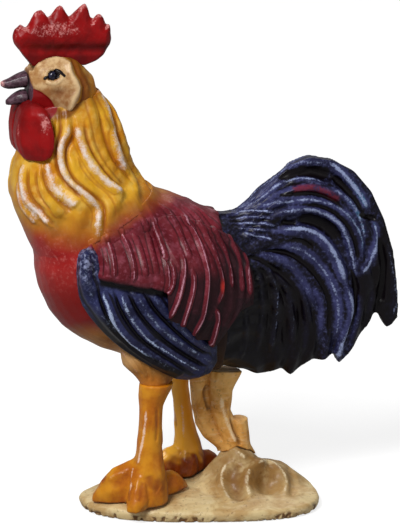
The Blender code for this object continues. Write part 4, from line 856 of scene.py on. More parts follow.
class Paint(Recipe):
    """A material of the figure, with its patterns in object coordinates."""

    def __init__(self, name):
        self.material = bpy.data.materials.new(name)
        self.material.use_nodes = True
        super().__init__(self.material.node_tree)
        self.shader = self.tree.nodes["Principled BSDF"]
        self.place = self.add("ShaderNodeTexCoord", output="Object")

    def mark(self, name):
        """Value stored on the points."""
        return self.add("ShaderNodeAttribute", {"attribute_name": name}, output="Fac")

    def blend(self, share, first, second):
        """Colour between two, by a share from 0 to 1."""
        node = self.tree.nodes.new("ShaderNodeMix")
        node.data_type = "RGBA"
        self.feed(node.inputs[0], share)
        self.feed(node.inputs[6], first)
        self.feed(node.inputs[7], second)
        return Wire(self, node.outputs[2])

    def coats(self, colour, *coats):
        """Colour with more paint over it, each coat as its share and its own colour."""
        for share, coat in coats:
            colour = self.blend(share, colour, coat)
        return colour

    def tones(self, noise, first, second):
        """Two colours that change place over soft patches of a noise."""
        return self.blend(self.steps(noise, 0.35, 0.65), first, second)

    def noise(self, size, detail=3.0, rough=0.55, stretch=None, distortion=0.0):
        """Noise with cells of about a size in mm."""
        place = self.place
        if stretch:
            place = self.add("ShaderNodeMapping", Vector=place, Scale=stretch)
        return self.add(
            "ShaderNodeTexNoise", Vector=place, Scale=1.0 / (size * MM), Detail=detail,
            Roughness=rough, Distortion=distortion,
        )

    def steps(self, value, low, high):
        """0 below low, 1 above high and a smooth way between."""
        return self.add(
            "ShaderNodeMapRange", {"interpolation_type": "SMOOTHSTEP"}, Value=value,
            From_Min=low, From_Max=high,
        )

    def patch(self, name, fine, ragged=0.3, low=0.35, high=0.65):
        """Painted patch from a value on the points, with an edge that the grain makes ragged."""
        return self.steps(self.mark(name) + (fine - 0.5) * ragged, low, high)

    def dry_brush_highlight(self, low=0.3, high=1.0, broken=1.6):
        """Share of light paint dragged over the ridges, broken by the grain below it; also their painted
        highlight.
        """
        crest = self.mark("crest")
        speckle = self.noise(0.5, 3.0, 0.7)
        patch = self.noise(2.2, 2.0, 0.5)
        value = crest * 1.1 + (speckle - 0.5) * broken + (patch - 0.5) * 1.3
        return self.steps(value, low, high) * crest.maths("MINIMUM", crest * 2.5, 1.0)

    def finish(self, colour, rough, bump=None, strength=0.3, depth=0.2, coat=0.0):
        """Give the shader its colour, roughness, bump of a depth in mm and clear coat."""
        self.feed(self.shader.inputs["Base Color"], colour)
        self.feed(self.shader.inputs["Roughness"], rough)
        self.shader.inputs["Specular IOR Level"].default_value = PAINT_SPECULAR
        self.shader.inputs["Coat Weight"].default_value = coat
        self.shader.inputs["Coat Roughness"].default_value = COAT_ROUGHNESS
        if bump is not None:
            relief = self.add("ShaderNodeBump", Height=bump, Strength=strength, Distance=depth * MM)
            self.feed(self.shader.inputs["Normal"], relief)
        return self.material


def srgb(red, green, blue):
    """Linear colour of a swatch given as 0 to 255."""
    linear = []
    for value in (red, green, blue):
        if value > 10:
            linear.append(((value / 255.0 + 0.055) / 1.055) ** 2.4)
        else:
            linear.append(value / (255.0 * 12.92))
    return tuple(linear)


# Paints of the figure, each as a base with its coats.


def plumage():
    """One paint for face, neck, breast, back and saddle, so that the colours run over the seams."""
    paint = Paint("plumage_paint")
    painted_shade = paint.mark("painted_shade")
    broad = paint.noise(9.0, 3.0, 0.55)
    middle = paint.noise(3.0, 3.0, 0.6)
    fine = paint.noise(1.1, 4.0, 0.65)
    valley_shade = paint.patch("valley_shade", fine, 0.6, 0.25, 0.9)
    gold = paint.coats(
        paint.tones(broad, srgb(226, 170, 40), srgb(202, 128, 18)),
        (paint.steps(middle, 0.45, 0.7) * 0.5, srgb(234, 194, 96)),
        # Painted shade beside the ridges and in the grooves. Brown is partly painted shade behind the
        # face's rim, and umber partly painted shade on the neck behind and under the face and below the
        # head.
        (valley_shade * 0.5, srgb(166, 92, 8)),
        (paint.steps(painted_shade, 0.1, 0.75) * 0.85, srgb(142, 70, 6)),
        (paint.mark("brown") * 0.8, srgb(158, 88, 26)),
        (paint.mark("umber") * 0.85, srgb(112, 52, 8)),
    )
    red = paint.coats(
        paint.blend(paint.steps(broad, 0.3, 0.7), srgb(172, 42, 38), srgb(152, 22, 20)),
        (paint.steps(fine, 0.48, 0.72) * 0.5, srgb(204, 110, 104)),
        (paint.mark("low_red"), srgb(124, 12, 8)),
    )
    ochre = paint.coats(
        paint.tones(broad, srgb(160, 106, 44), srgb(116, 62, 16)),
        (paint.steps(fine, 0.48, 0.7) * 0.4, srgb(188, 142, 84)),
        (paint.mark("tan") * 0.75, srgb(206, 160, 104)),
    )
    maroon = paint.coats(
        paint.tones(broad, srgb(122, 34, 46), srgb(94, 18, 28)),
        (paint.steps(middle, 0.5, 0.75) * 0.5, srgb(152, 74, 90)),
        (paint.steps(fine, 0.5, 0.7) * 0.4, srgb(166, 88, 106)),
        # Painted shade beside the ridges and in the grooves.
        (valley_shade * 0.8, srgb(52, 8, 14)),
        (paint.steps(painted_shade, 0.1, 0.7), srgb(34, 5, 8)),
    )
    ridge = paint.patch("ridge", fine, 0.5, 0.35, 0.75)
    night = paint.blend(ridge, srgb(16, 9, 16), srgb(92, 20, 34))
    cream = paint.coats(
        paint.blend(paint.steps(middle, 0.4, 0.62), srgb(210, 174, 126), srgb(174, 128, 78)),
        (paint.steps(fine, 0.46, 0.66) * 0.5, srgb(150, 94, 48)),
        # Painted shade in the cheek's hollow and low on the face, the face darker along its front edge, and
        # painted highlight along its rim, brow and lower lid.
        (paint.mark("hollow") * 0.85, srgb(124, 68, 28)),
        (paint.mark("rim") * 0.8, srgb(232, 200, 152)),
    )
    horn = paint.blend(paint.steps(fine, 0.4, 0.62), srgb(72, 44, 56), srgb(104, 74, 84))
    # Light paint dragged over the ridges, which also serves as their painted highlight.
    brushed_highlight = paint.dry_brush_highlight(0.45, 1.5)
    light = paint.blend(paint.mark("gold"), srgb(206, 146, 164), srgb(240, 226, 220))
    colour = paint.coats(
        red,
        (paint.mark("gold"), gold),
        (paint.mark("maroon"), maroon),
        (paint.mark("ochre"), ochre),
        (paint.mark("amber") * 0.8, srgb(206, 124, 36)),
        # On the coverts, night is the painted shadow along their lower edge.
        (paint.mark("night"), night),
        (paint.mark("glint") * 0.9, srgb(196, 44, 26)),
        (brushed_highlight * 0.95, light),
        (paint.patch("face", fine), cream),
        (paint.patch("throat", fine), srgb(138, 16, 18)),
        (paint.patch("horn", fine), horn),
        (paint.steps(paint.mark("lid"), 0.3, 0.6), srgb(20, 10, 12)),
    )
    rough = 0.4 + (fine - 0.5) * 0.3 + paint.mark("night") * 0.25 + paint.mark("maroon") * 0.1
    bump = fine + middle * 0.6 + broad * 0.4 + brushed_highlight * 0.3
    return paint.finish(colour, rough, bump, strength=0.45, depth=0.14, coat=0.1)


def tail_paint():
    """Near black with navy ridges, pale blue where the brush caught, also painted highlight, teal near the
    rim.
    """
    paint = Paint("tail_paint")
    fine = paint.noise(1.0, 4.0, 0.65)
    broad = paint.noise(7.0, 2.0, 0.5)
    navy = paint.coats(
        paint.tones(broad, srgb(58, 60, 104), srgb(32, 32, 64)),
        (paint.steps(fine, 0.5, 0.68) * 0.45, srgb(98, 104, 150)),
    )
    shade = paint.steps(paint.mark("high") + (fine - 0.5) * 0.6 + (broad - 0.5) * 0.3, 0.4, 0.74)
    brushed_highlight = paint.dry_brush_highlight(0.25, 1.05, 2.2)
    colour = paint.coats(
        srgb(9, 4, 8),
        (shade * paint.mark("sky"), navy),
        (paint.mark("teal") * paint.steps(fine, 0.4, 0.65) * 0.9, srgb(60, 132, 164)),
        (paint.mark("glint") * paint.steps(fine, 0.3, 0.55) * 0.8, srgb(118, 26, 36)),
        (brushed_highlight * 0.9, srgb(158, 170, 210)),
    )
    rough = 0.38 + (fine - 0.5) * 0.3
    return paint.finish(colour, rough, fine + brushed_highlight * 0.4, strength=0.4, depth=0.12, coat=0.05)


def wing_paint():
    """Navy primaries with pale blue lines, also painted highlights, and a whitish shoulder."""
    paint = Paint("wing_paint")
    fine = paint.noise(1.0, 4.0, 0.65)
    broad = paint.noise(6.0, 2.0, 0.5)
    pale = paint.mark("pale") * paint.steps(fine + (broad - 0.5) * 0.4, 0.44, 0.72)
    brushed_highlight = paint.dry_brush_highlight(0.2, 1.0, 2.2)
    colour = paint.coats(
        paint.tones(broad, srgb(50, 54, 98), srgb(26, 28, 60)),
        (paint.steps(fine, 0.5, 0.68) * 0.4, srgb(92, 102, 150)),
        # Painted shade beside the ridges and in the grooves, and under night the painted shadow below the
        # coverts' edge and painted shade low on the wing.
        (paint.patch("valley_shade", fine, 0.6, 0.2, 0.7) * 0.9, srgb(14, 9, 18)),
        (paint.steps(paint.mark("painted_shade"), 0.1, 0.6), srgb(9, 6, 14)),
        (paint.mark("night"), srgb(10, 7, 14)),
        (pale * 0.75, srgb(158, 164, 200)),
        (paint.mark("rosy"), srgb(140, 44, 52)),
        (brushed_highlight * 0.95, srgb(184, 200, 234)),
    )
    rough = 0.38 + (fine - 0.5) * 0.3
    return paint.finish(colour, rough, fine + brushed_highlight * 0.4, strength=0.4, depth=0.12, coat=0.1)


def red_paint():
    """Deep red with painted shade, and pink painted highlights on the points and stippled on the flanks."""
    paint = Paint("red_paint")
    fine = paint.noise(0.9, 4.0, 0.7)
    broad = paint.noise(5.0, 2.0, 0.5)
    colour = paint.coats(
        paint.tones(broad, srgb(150, 8, 11), srgb(120, 4, 6)),
        (paint.steps(fine, 0.5, 0.75) * 0.25, srgb(168, 40, 40)),
        # Painted shadow and shade, then pink painted highlights.
        (paint.mark("painted_shade") * 0.85, srgb(58, 4, 6)),
        (paint.dry_brush_highlight(0.55, 1.25, 2.4) * 0.8, srgb(224, 146, 142)),
    )
    rough = 0.4 + (fine - 0.5) * 0.3
    return paint.finish(colour, rough, fine + broad * 0.5, strength=0.4, depth=0.14, coat=0.02)


def horn_paint():
    """Dark purple-brown beak with a pink worn point."""
    paint = Paint("horn_paint")
    fine = paint.noise(0.8, 4.0, 0.65)
    colour = paint.coats(
        paint.blend(paint.steps(fine, 0.4, 0.62), srgb(62, 38, 48), srgb(96, 68, 80)),
        (paint.mark("crest") * paint.steps(fine, 0.35, 0.55), srgb(222, 160, 158)),
        # Painted shade on the underside.
        (paint.mark("painted_shade"), srgb(26, 12, 16)),
    )
    return paint.finish(colour, 0.4 + (fine - 0.5) * 0.2, fine, strength=0.3, depth=0.1, coat=0.2)


def leg_paint():
    """Amber with cream painted highlights on the ridges and red-brown painted shade in the hollows."""
    paint = Paint("leg_paint")
    fine = paint.noise(0.9, 4.0, 0.65)
    broad = paint.noise(5.0, 3.0, 0.55)
    unshaded = 1.0 - paint.steps(paint.mark("painted_shade"), 0.1, 0.8)
    colour = paint.coats(
        paint.tones(broad, srgb(214, 142, 26), srgb(190, 108, 12)),
        (paint.steps(broad + (fine - 0.5) * 0.4, 0.58, 0.78) * 0.5, srgb(156, 70, 12)),
        (paint.patch("painted_shade", fine, 0.3, 0.1, 1.0) * 0.92, srgb(122, 36, 8)),
        # Painted light: the far leg's coat is brighter outside its painted shade.
        (paint.mark("far") * unshaded * 0.9, srgb(255, 190, 62)),
        (paint.dry_brush_highlight() * 0.8, srgb(242, 210, 186)),
    )
    rough = 0.4 + (fine - 0.5) * 0.2
    return paint.finish(colour, rough, fine + broad * 0.6, strength=0.35, depth=0.12, coat=0.25)


def wood_paint(name, light, dark, cuts, worn):
    """Beige ground paint with brown painted shade in its cuts and pale paint on the ridges as highlights.
    """
    paint = Paint(name)
    fine = paint.noise(1.0, 5.0, 0.7)
    broad = paint.noise(7.0, 3.0, 0.6, distortion=0.6)
    tool = paint.noise(1.6, 3.0, 0.6, stretch=(0.35, 1.0, 1.6))
    colour = paint.coats(
        paint.blend(paint.steps(broad, 0.38, 0.66), light, dark),
        (paint.steps(tool, 0.5, 0.72) * 0.35, worn),
        (paint.mark("earth") * paint.steps(broad, 0.2, 0.5) * 0.9, srgb(138, 96, 40)),
        (paint.steps(fine, 0.55, 0.7) * 0.5, cuts),
        # Painted shade in the cuts, and the worn colour on the ridges, which also serves as their
        # highlight.
        (paint.patch("painted_shade", fine, 0.3, 0.15, 0.8) * 0.85, cuts),
        (paint.dry_brush_highlight() * 0.75, worn),
    )
    rough = 0.52 + (fine - 0.5) * 0.2
    return paint.finish(colour, rough, fine + tool + broad * 0.5, strength=0.45, depth=0.2, coat=0.12)


def eye_paint():
    """Glossy near black with a breath of blue."""
    paint = Paint("eye_paint")
    fine = paint.noise(0.6, 2.0, 0.5)
    colour = paint.blend(paint.steps(fine, 0.45, 0.6), srgb(16, 12, 22), srgb(34, 34, 58))
    return paint.finish(colour, 0.2, coat=0.4)


def bare_wood_paint():
    """Unpainted softwood with its grain drawn out along z."""
    paint = Paint("bare_wood")
    grain = paint.noise(1.2, 4.0, 0.6, stretch=(1.0, 1.0, 0.12))
    colour = paint.blend(paint.steps(grain, 0.4, 0.65), srgb(214, 188, 150), srgb(186, 152, 108))
    return paint.finish(colour, 0.6, grain, strength=0.2, depth=0.1)


# Pieces of the figure. The paint functions come first, because several pieces share them.


def dress(carving, material):
    """Finish a piece: apply its carving, give it its paint and hand it over."""
    carving.apply()
    piece = carving.piece
    piece.data.materials.clear()
    piece.data.materials.append(material)
    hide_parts(carving.node)
    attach(piece, "root")


def paint_plumage(carving):
    """Where gold, maroon, ochre, red and the dark tips lie, by place in the photograph's frame."""
    pixels = carving.seen()
    across, down = pixels.T
    rough = 3.0 * hills(carving.near, 5.0, 8.0)
    back = sloping(across, GOLD_EDGE_REAR) + rough
    line = np.where(across < GOLD_EDGE_REAR[0], sloping(across, GOLD_EDGE_FRONT) + rough, back)
    carving.zone("gold", beyond(down, line + OVERLAP, -GOLD_SOFTNESS))
    carving.zone("umber", 0.45 * stripe(down, back - UMBER_RISE, 12.0) * beyond(across, *BACK_UMBER_FRONT))
    carving.zone("tan", spot(pixels, BELLY_TAN))
    front = beyond(down, sloping(across, BREAST_BROWN_EDGE), 34.0) * beyond(across, *BREAST_BROWN_REAR)
    shoulder = stripe(down, back - OVERLAP, 19.0, 1.2) * beyond(across, *SHOULDER_BROWN_FRONT)
    carving.zone("brown", strongest(0.8 * front, 0.9 * shoulder))
    carving.zone("amber", corner(pixels, THIGH_AMBER))
    maroon = beyond(down, back - OVERLAP, MAROON_SOFTNESS) * beyond(across, *MAROON_FRONT)
    carving.zone("maroon", maroon * beyond(down, *MAROON_END))
    carving.zone("low_red", beyond(down, *RED_LOW))
    carving.zone("ochre", beyond(down, sloping(across, BELLY_EDGE), 22.0))
    tips = beyond(down, sloping(across, SADDLE_TIPS_EDGE), 18.0) * beyond(across, *TIPS_FRONT)
    for share, edges in DARK_TIPS:
        tips = strongest(tips, share * corner(pixels, edges))
    carving.zone("night", 0.92 * tips * (1.0 - corner(pixels, THIGH_CLEAN)))
    carving.zone("ridge", carving.lift / 0.5)
    carving.zone("glint", spot(pixels, SADDLE_GLINT))


def paint_face(carving, relief):
    """Raised cream face with its rim, hollow cheek, eye's lids and red throat, and its painted shade and
    highlight.
    """
    pixels = in_photo(carving.near)
    across, down = pixels.T
    flank = beyond(np.abs(carving.normals[:, 1]), 0.1, 0.3)
    face = inside_patch(pixels, FACE_PATCH)
    throat = inside_patch(pixels, THROAT)
    rim = near_line(pixels, FACE_RIM)
    brow = near_line(pixels, BROW)
    lid = near_line(pixels, EYE_LID)
    lower_lid = near_line(pixels, LOWER_LID)
    cheek = spot(pixels, CHEEK)
    # Painted shade behind the face's rim, and in umber on the neck behind the face and under the chin.
    behind = stripe(face, -3.0, 3.0) * beyond(across, *CHEEK_REAR)
    rear_shade = stripe(face, -5.0, 6.5, 1.4) * beyond(across, *NECK_SHADE_FRONT)
    carving.zone("umber", strongest(carving.zones["umber"], rear_shade, spot(pixels, CHIN_SHADE)))
    lift = 0.4 * beyond(face, -0.5, 3.0) + 0.4 * within(rim, 4.5) + 0.2 * within(brow, 6.0)
    lift += 0.3 * within(lid, 2.6) + 0.14 * within(lower_lid, 2.5)
    lift -= 0.45 * cheek + 0.35 * behind
    carving.lift += relief * lift * flank
    carving.zone("face", relief * strongest(beyond(face, -3.0, 6.0), beyond(rim, 4.2, -2.0)))
    carving.zone("brown", strongest(carving.zones["brown"], behind))
    # Painted shade in the cheek's hollow and low on the face, and darker paint along its front edge.
    front_edge = 0.8 * stripe(face, 1.0, 3.0) * beyond(across, *FACE_FRONT)
    carving.zone("hollow", strongest(cheek, 0.55 * beyond(down, *FACE_LOWER), front_edge))
    # Painted highlight along the rim, the lower lid and the brow.
    carving.zone("rim", strongest(within(rim, 3.6), 0.9 * within(lower_lid, 2.0), 0.6 * within(brow, 4.5)))
    carving.zone("lid", strongest(within(lid, 2.6), beyond(oval_distance(pixels, *EYE_SPOT), 1.15, -0.3)))
    carving.zone("throat", beyond(throat, -2.0, 4.0) * (1.0 - beyond(face, 1.0, 2.0)))
    carving.zone("horn", beyond(inside_patch(pixels, HORN_PATCH), -1.0, 2.0))
    carving.crest *= 1.0 - beyond(strongest(face, throat), -4.0, 4.0)


def paint_tail(carving):
    """Which parts of the tail are blue, teal and near black."""
    pixels = in_photo(carving.near)
    carving.zone("high", 0.5 + carving.lift * 0.55)
    foot = beyond(inside_patch(pixels, TAIL_FOOT), -3.0, 12.0)
    rear = beyond(inside_patch(pixels, TAIL_REAR), -2.0, 8.0)
    carving.zone("sky", 1.0 - 0.93 * strongest(foot, rear))
    carving.zone("teal", spot(pixels, TAIL_TEAL) * beyond(carving.crest, 0.1, 0.4))
    carving.zone("glint", ease(1.2 - near_line(pixels, RED_STREAK) / 4.2))


def add_neck_cape(tree, material):
    """Neck cape, which runs in under the head and out over the breast."""
    hackle = Carving("hackle_cape", "hackle", grain=0.26, soften=6)
    hackle.strokes(HACKLE_RIDGES + HACKLE_GROOVES, tree, brush=NECK_BRUSH)
    hackle.swell(height=0.08, size=7.0, seed=1.0)
    hackle.tuck(HEAD_SEAM, TOWARDS_TAIL, reach=5.0, depth=0.8)
    hackle.tuck(HEAD_SEAM, TOWARDS_TAIL, reach=0.9, depth=0.6)
    hackle.tuck(BREAST_SEAM, TOWARDS_THROAT, reach=5.0, depth=0.2)
    hackle.cover(HEAD_SEAM, TOWARDS_THROAT, reach=3.0, length=0.5)
    hackle.cover(BREAST_SEAM, TOWARDS_TAIL, reach=3.0, length=1.4)
    paint_plumage(hackle)
    paint_face(hackle, relief=0.0)
    # Painted shade on the neck just below the head, where the light paint on the ridges fades out.
    below = (hackle.points - seam_middle(HEAD_SEAM)) @ seam_way(HEAD_SEAM)
    hackle.zone("umber", strongest(hackle.zones["umber"], 0.6 * within(below, 5.5)))
    hackle.crest *= beyond(below, -0.5, 2.5)
    dress(hackle, material)


def add_body(tree, material):
    """Breast, back and thighs, which narrow towards the shanks below them."""
    body = Carving("breast_and_back", "body", grain=0.36, soften=16)
    body.strokes(HACKLE_RIDGES + HACKLE_GROOVES + BACK_RIDGES + THIGH_RIDGES, tree)
    body.swell(height=0.12, size=9.0, seed=2.0)
    body.tuck(BREAST_SEAM, TOWARDS_TAIL, reach=6.0, depth=0.7)
    body.tuck(BREAST_SEAM, TOWARDS_TAIL, reach=0.9, depth=0.6)
    body.cover(BREAST_SEAM, TOWARDS_THROAT, reach=3.0, length=1.2)
    for word in SIDES:
        ankle = np.mean(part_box(word + "_leg_dowel"), axis=0)[:2] / MM
        spread = body.points[:, :2] - ankle
        close = beyond(np.linalg.norm(spread, axis=1), *ANKLE_REACH) * beyond(body.points[:, 2], *THIGH_END)
        body.slide[:, :2] -= ANKLE_SHRINK * spread * close[:, None]
    body.cover(TAIL_SEAM, TOWARDS_TAIL, reach=3.0, length=1.2)
    paint_plumage(body)
    dress(body, material)


def add_wing(word, tree, material):
    """Shoulder edge and primaries, sunk into the body at the root."""
    wing = Carving(word + "_wing_feathers", word + "_wing", grain=0.26, soften=4)
    wing.strokes(WING_RIDGES + WING_GROOVES, tree, brush=WING_BRUSH)
    pixels = in_photo(wing.near)
    across, down = pixels.T
    # Painted shadow below the coverts' edge, and painted shade low on the wing and towards its end.
    under_coverts = beyond(down, sloping(across, COVERT_EDGE) + COVERT_SHADOW, -4.0)
    under_coverts *= beyond(across, *COVERT_SHADOW_FRONT)
    low_edge = beyond(inside_patch(pixels, WING_LOW_EDGE), 1.0, 4.0) * beyond(down, *WING_LOW_SHADE)
    wing.zone("night", strongest(under_coverts, low_edge, 0.45 * beyond(down, *WING_END_SHADE)))
    wing.zone("pale", corner(pixels, WING_PALE))
    wing.zone("rosy", beyond(down, sloping(across, WING_ROSY_EDGE), -5.0))
    wing.lift -= 0.35 * under_coverts
    wing.sink(corner(pixels, WING_ROOT), depth=2.4)
    wing.sink(beyond(down, *WING_TOP), depth=1.6)
    dress(wing, material)


def add_coverts(word, tree, material):
    """Maroon plate above the wing, which ends in a stepped edge with painted shadow along it."""
    coverts = Carving(word + "_covert_feathers", word + "_coverts", grain=0.24, soften=4)
    coverts.strokes(COVERT_RIDGES + BACK_RIDGES, tree, brush=BACK_BRUSH)
    pixels = in_photo(coverts.near)
    across, down = pixels.T
    coverts.sink(strongest(beyond(down, *COVERTS_TOP), corner(pixels, COVERTS_FRONT_TOP)), depth=2.1)
    coverts.sink(beyond(across, *COVERTS_FRONT), depth=1.4)
    coverts.tuck(BREAST_SEAM, TOWARDS_TAIL, reach=6.0, depth=1.2)
    paint_plumage(coverts)
    coverts.zone("ochre", np.zeros(len(down)))
    # Painted shadow along the coverts' lower edge, which goes on below it over the wing.
    coverts.zone("night", beyond(down, sloping(across, COVERT_EDGE) - COVERT_SHADOW_ABOVE, 5.0))
    dress(coverts, material)


def add_saddle(word, tree, material):
    """Saddle feathers with dark gaps between them, sunk into the back at their top."""
    saddle = Carving(word + "_saddle_feathers", word + "_saddle", grain=0.24, soften=4)
    saddle.strokes(BACK_RIDGES, tree, brush=BACK_BRUSH)
    paint_plumage(saddle)
    down = in_photo(saddle.near)[:, 1]
    saddle.zone("ochre", np.zeros(len(down)))
    gaps = beyond(down, *SADDLE_GAPS) * (1.0 - beyond(saddle.lift, 0.02, 0.25))
    saddle.zone("night", strongest(saddle.zones["night"], 0.85 * gaps))
    # Stronger light paint on the lower saddle, where it also serves as painted highlight.
    saddle.crest *= 1.0 + 0.4 * beyond(down, *SADDLE_BRIGHT)
    saddle.lift *= 0.85
    saddle.sink(beyond(down, *SADDLE_TOP), depth=2.6)
    saddle.sink(1.0, depth=0.5)
    dress(saddle, material)


def add_tail():
    """Fluted sickle feathers, whose flutes fade where the fan's edge turns away."""
    tail = Carving("tail_feathers", "tail", grain=0.3, soften=12)
    tree = solid_tree(["tail", "left_saddle", "body"])
    tail.strokes(TAIL_RIDGES + TAIL_SHEAF + TAIL_GROOVES, tree)
    paint_tail(tail)
    tail.lift *= 0.75 * beyond(np.abs(tail.normals[:, 1]), 0.25, 0.4)
    tail.cover(TAIL_SEAM, TOWARDS_THROAT, reach=3.0, length=1.4)
    dress(tail, tail_paint())


def add_comb(material):
    """Thick comb, fuller along its middle, with painted highlights on its points and painted shade at its
    foot.
    """
    comb = Carving("comb_points", "comb", grain=0.2, soften=12)
    pixels = in_photo(comb.near)
    across, down = pixels.T
    comb.lift -= 0.1
    comb.swell(height=0.08, size=3.4, seed=3.0)
    comb.swell(height=0.03, size=1.5, seed=4.0)
    comb.lift += 0.3 * stripe(down, *COMB_FULL) - 0.2 * stripe(down, *COMB_WAIST)
    # Pink painted highlights on the points' edges, the upper middle, the front edge and the tips.
    upper_edge = beyond(np.abs(comb.normals[:, 2]), 0.25, 0.5)
    upper_edge *= beyond(comb.points[:, 2], *COMB_POINTS_HEIGHT)
    comb.crest = strongest(0.75 * upper_edge, 0.75 * spot(pixels, COMB_HIGHLIGHT))
    comb.crest = strongest(comb.crest, 0.6 * crossing(pixels, COMB_FRONT_HIGHLIGHT))
    for place in COMB_TIP_HIGHLIGHTS:
        comb.crest = strongest(comb.crest, 1.1 * spot(pixels, place + COMB_TIP_HIGHLIGHT_SIZE))
    # Painted shadow under the comb's fullness and painted shade at its foot.
    shadow = stripe(down, *COMB_SHADOW) * beyond(across, *COMB_SHADOW_FRONT)
    comb.painted_shade = strongest(0.75 * shadow, 0.55 * beyond(down, *COMB_FOOT))
    dress(comb, material)


def add_wattle(word, material):
    """Hanging wattle with a rolled front rim, flat against its twin."""
    wattle = Carving(word + "_wattle_drop", word + "_wattle", grain=0.22, soften=5)
    pixels = in_photo(wattle.near)
    across, down = pixels.T
    away = oval_distance(pixels, *WATTLE_OVAL)
    rim = beyond(away, 0.62, 0.2) * beyond(away, 1.02, -0.2)
    wattle.lift += 0.15 * rim * beyond(across, *WATTLE_FRONT)
    # Pink painted highlights, and painted shade on the wattle's top.
    wattle.crest = strongest(0.8 * spot(pixels, WATTLE_HIGHLIGHT), 0.6 * crossing(pixels, WATTLE_FRONT_HIGHLIGHT))
    wattle.painted_shade = 0.5 * beyond(down, *WATTLE_SHADE)
    wattle.sink(beyond(down, *WATTLE_TOP), depth=1.2)
    outward = np.sign(wattle.points[:, 1])
    inner = beyond(-wattle.normals[:, 1] * outward, 0.0, 0.6)
    from_middle = np.maximum(np.abs(wattle.points[:, 1]) - WATTLE_GAP, 0.0)
    wattle.sink(inner, from_middle)
    wattle.swell(height=0.08, size=4.0, seed=4.0)
    dress(wattle, material)


def add_head(tree, material):
    """Head with its raised face, drawn out over the neck behind the cheek."""
    head = Carving("head_and_face", "head", grain=0.2, soften=6)
    head.strokes(HACKLE_RIDGES + HACKLE_GROOVES, tree, brush=NECK_BRUSH)
    paint_plumage(head)
    paint_face(head, relief=1.0)
    head.cover(HEAD_SEAM, TOWARDS_TAIL, reach=2.0, length=1.2)
    lobe = stripe(in_photo(head.near)[:, 0], *EAR_LOBE) * (head.points[:, 0] < EAR_LOBE_REAR)
    head.cover(HEAD_SEAM, TOWARDS_TAIL, reach=2.6, length=1.3, share=lobe)
    dress(head, material)


def add_beak(name, worn_tip, shade, material):
    """Half of the open beak, dark on its underside."""
    beak = Carving(name + "_horn", name, grain=0.16, soften=4)
    across = in_photo(beak.near)[:, 0]
    beak.crest = worn_tip * within(across - 1.0, 5.0)
    # Painted shade on the underside.
    beak.painted_shade = shade * beyond(-beak.normals[:, 2], 0.2, 0.5)
    beak.swell(height=0.05, size=3.0, seed=5.0)
    dress(beak, material)


def add_leg(word, seed, far, pool_top, pool_shade, material):
    """Shank, spur and toes, shaded between the toes and on the foot's rear."""
    leg = Carving(word + "_leg_and_foot", word + "_leg", grain=0.22, soften=36)
    leg.strokes(LEG_RIDGES + LEG_GROOVES, solid_tree([word + "_leg"]), both_sides=False)
    height = leg.points[:, 2]
    # Painted shade under the leg, on its rear, in the grooves, in pools between the toes and low on the
    # foot.
    below = 0.6 * beyond(-leg.normals[:, 2], 0.0, 0.6)
    behind = 0.6 * beyond(leg.normals[:, 0], 0.3, 0.6) * beyond(height, 20.0, -8.0)
    leg.painted_shade = strongest(2.6 * leg.painted_shade, below + behind)
    pixels = in_photo(leg.points)
    for oval in FOOT_SHADES:
        pool = ease(1.0 - oval_distance(pixels, *oval) + 0.25 * hills(leg.points, 2.4, 3.0))
        leg.painted_shade = strongest(leg.painted_shade, 0.7 * pool * beyond(height, 14.0, -4.0))
    ragged_top = pool_top + 1.5 * hills(leg.points, 3.0, 6.0)
    leg.painted_shade = strongest(leg.painted_shade, pool_shade * beyond(height, ragged_top, -6.0))
    leg.swell(height=0.12, size=5.0, seed=seed)
    leg.stretch(LEG_TOP, UPWARD, reach=1.6, length=0.7)
    # Painted light: the far leg's coat is brighter.
    leg.zone("far", np.full(len(height), far))
    dress(leg, material)


def add_stump():
    """Forked support with bark-like cuts."""
    stump = Carving("forked_stump", "stump", grain=0.25, soften=5)
    stump.strokes(STUMP_RIDGES + STUMP_GROOVES, solid_tree(["stump"]), both_sides=False)
    stump.swell(height=0.15, size=6.0, seed=6.0)
    paint = wood_paint(
        "stump_paint", light=srgb(240, 186, 106), dark=srgb(206, 140, 58), cuts=srgb(84, 48, 18),
        worn=srgb(248, 222, 180),
    )
    dress(stump, paint)


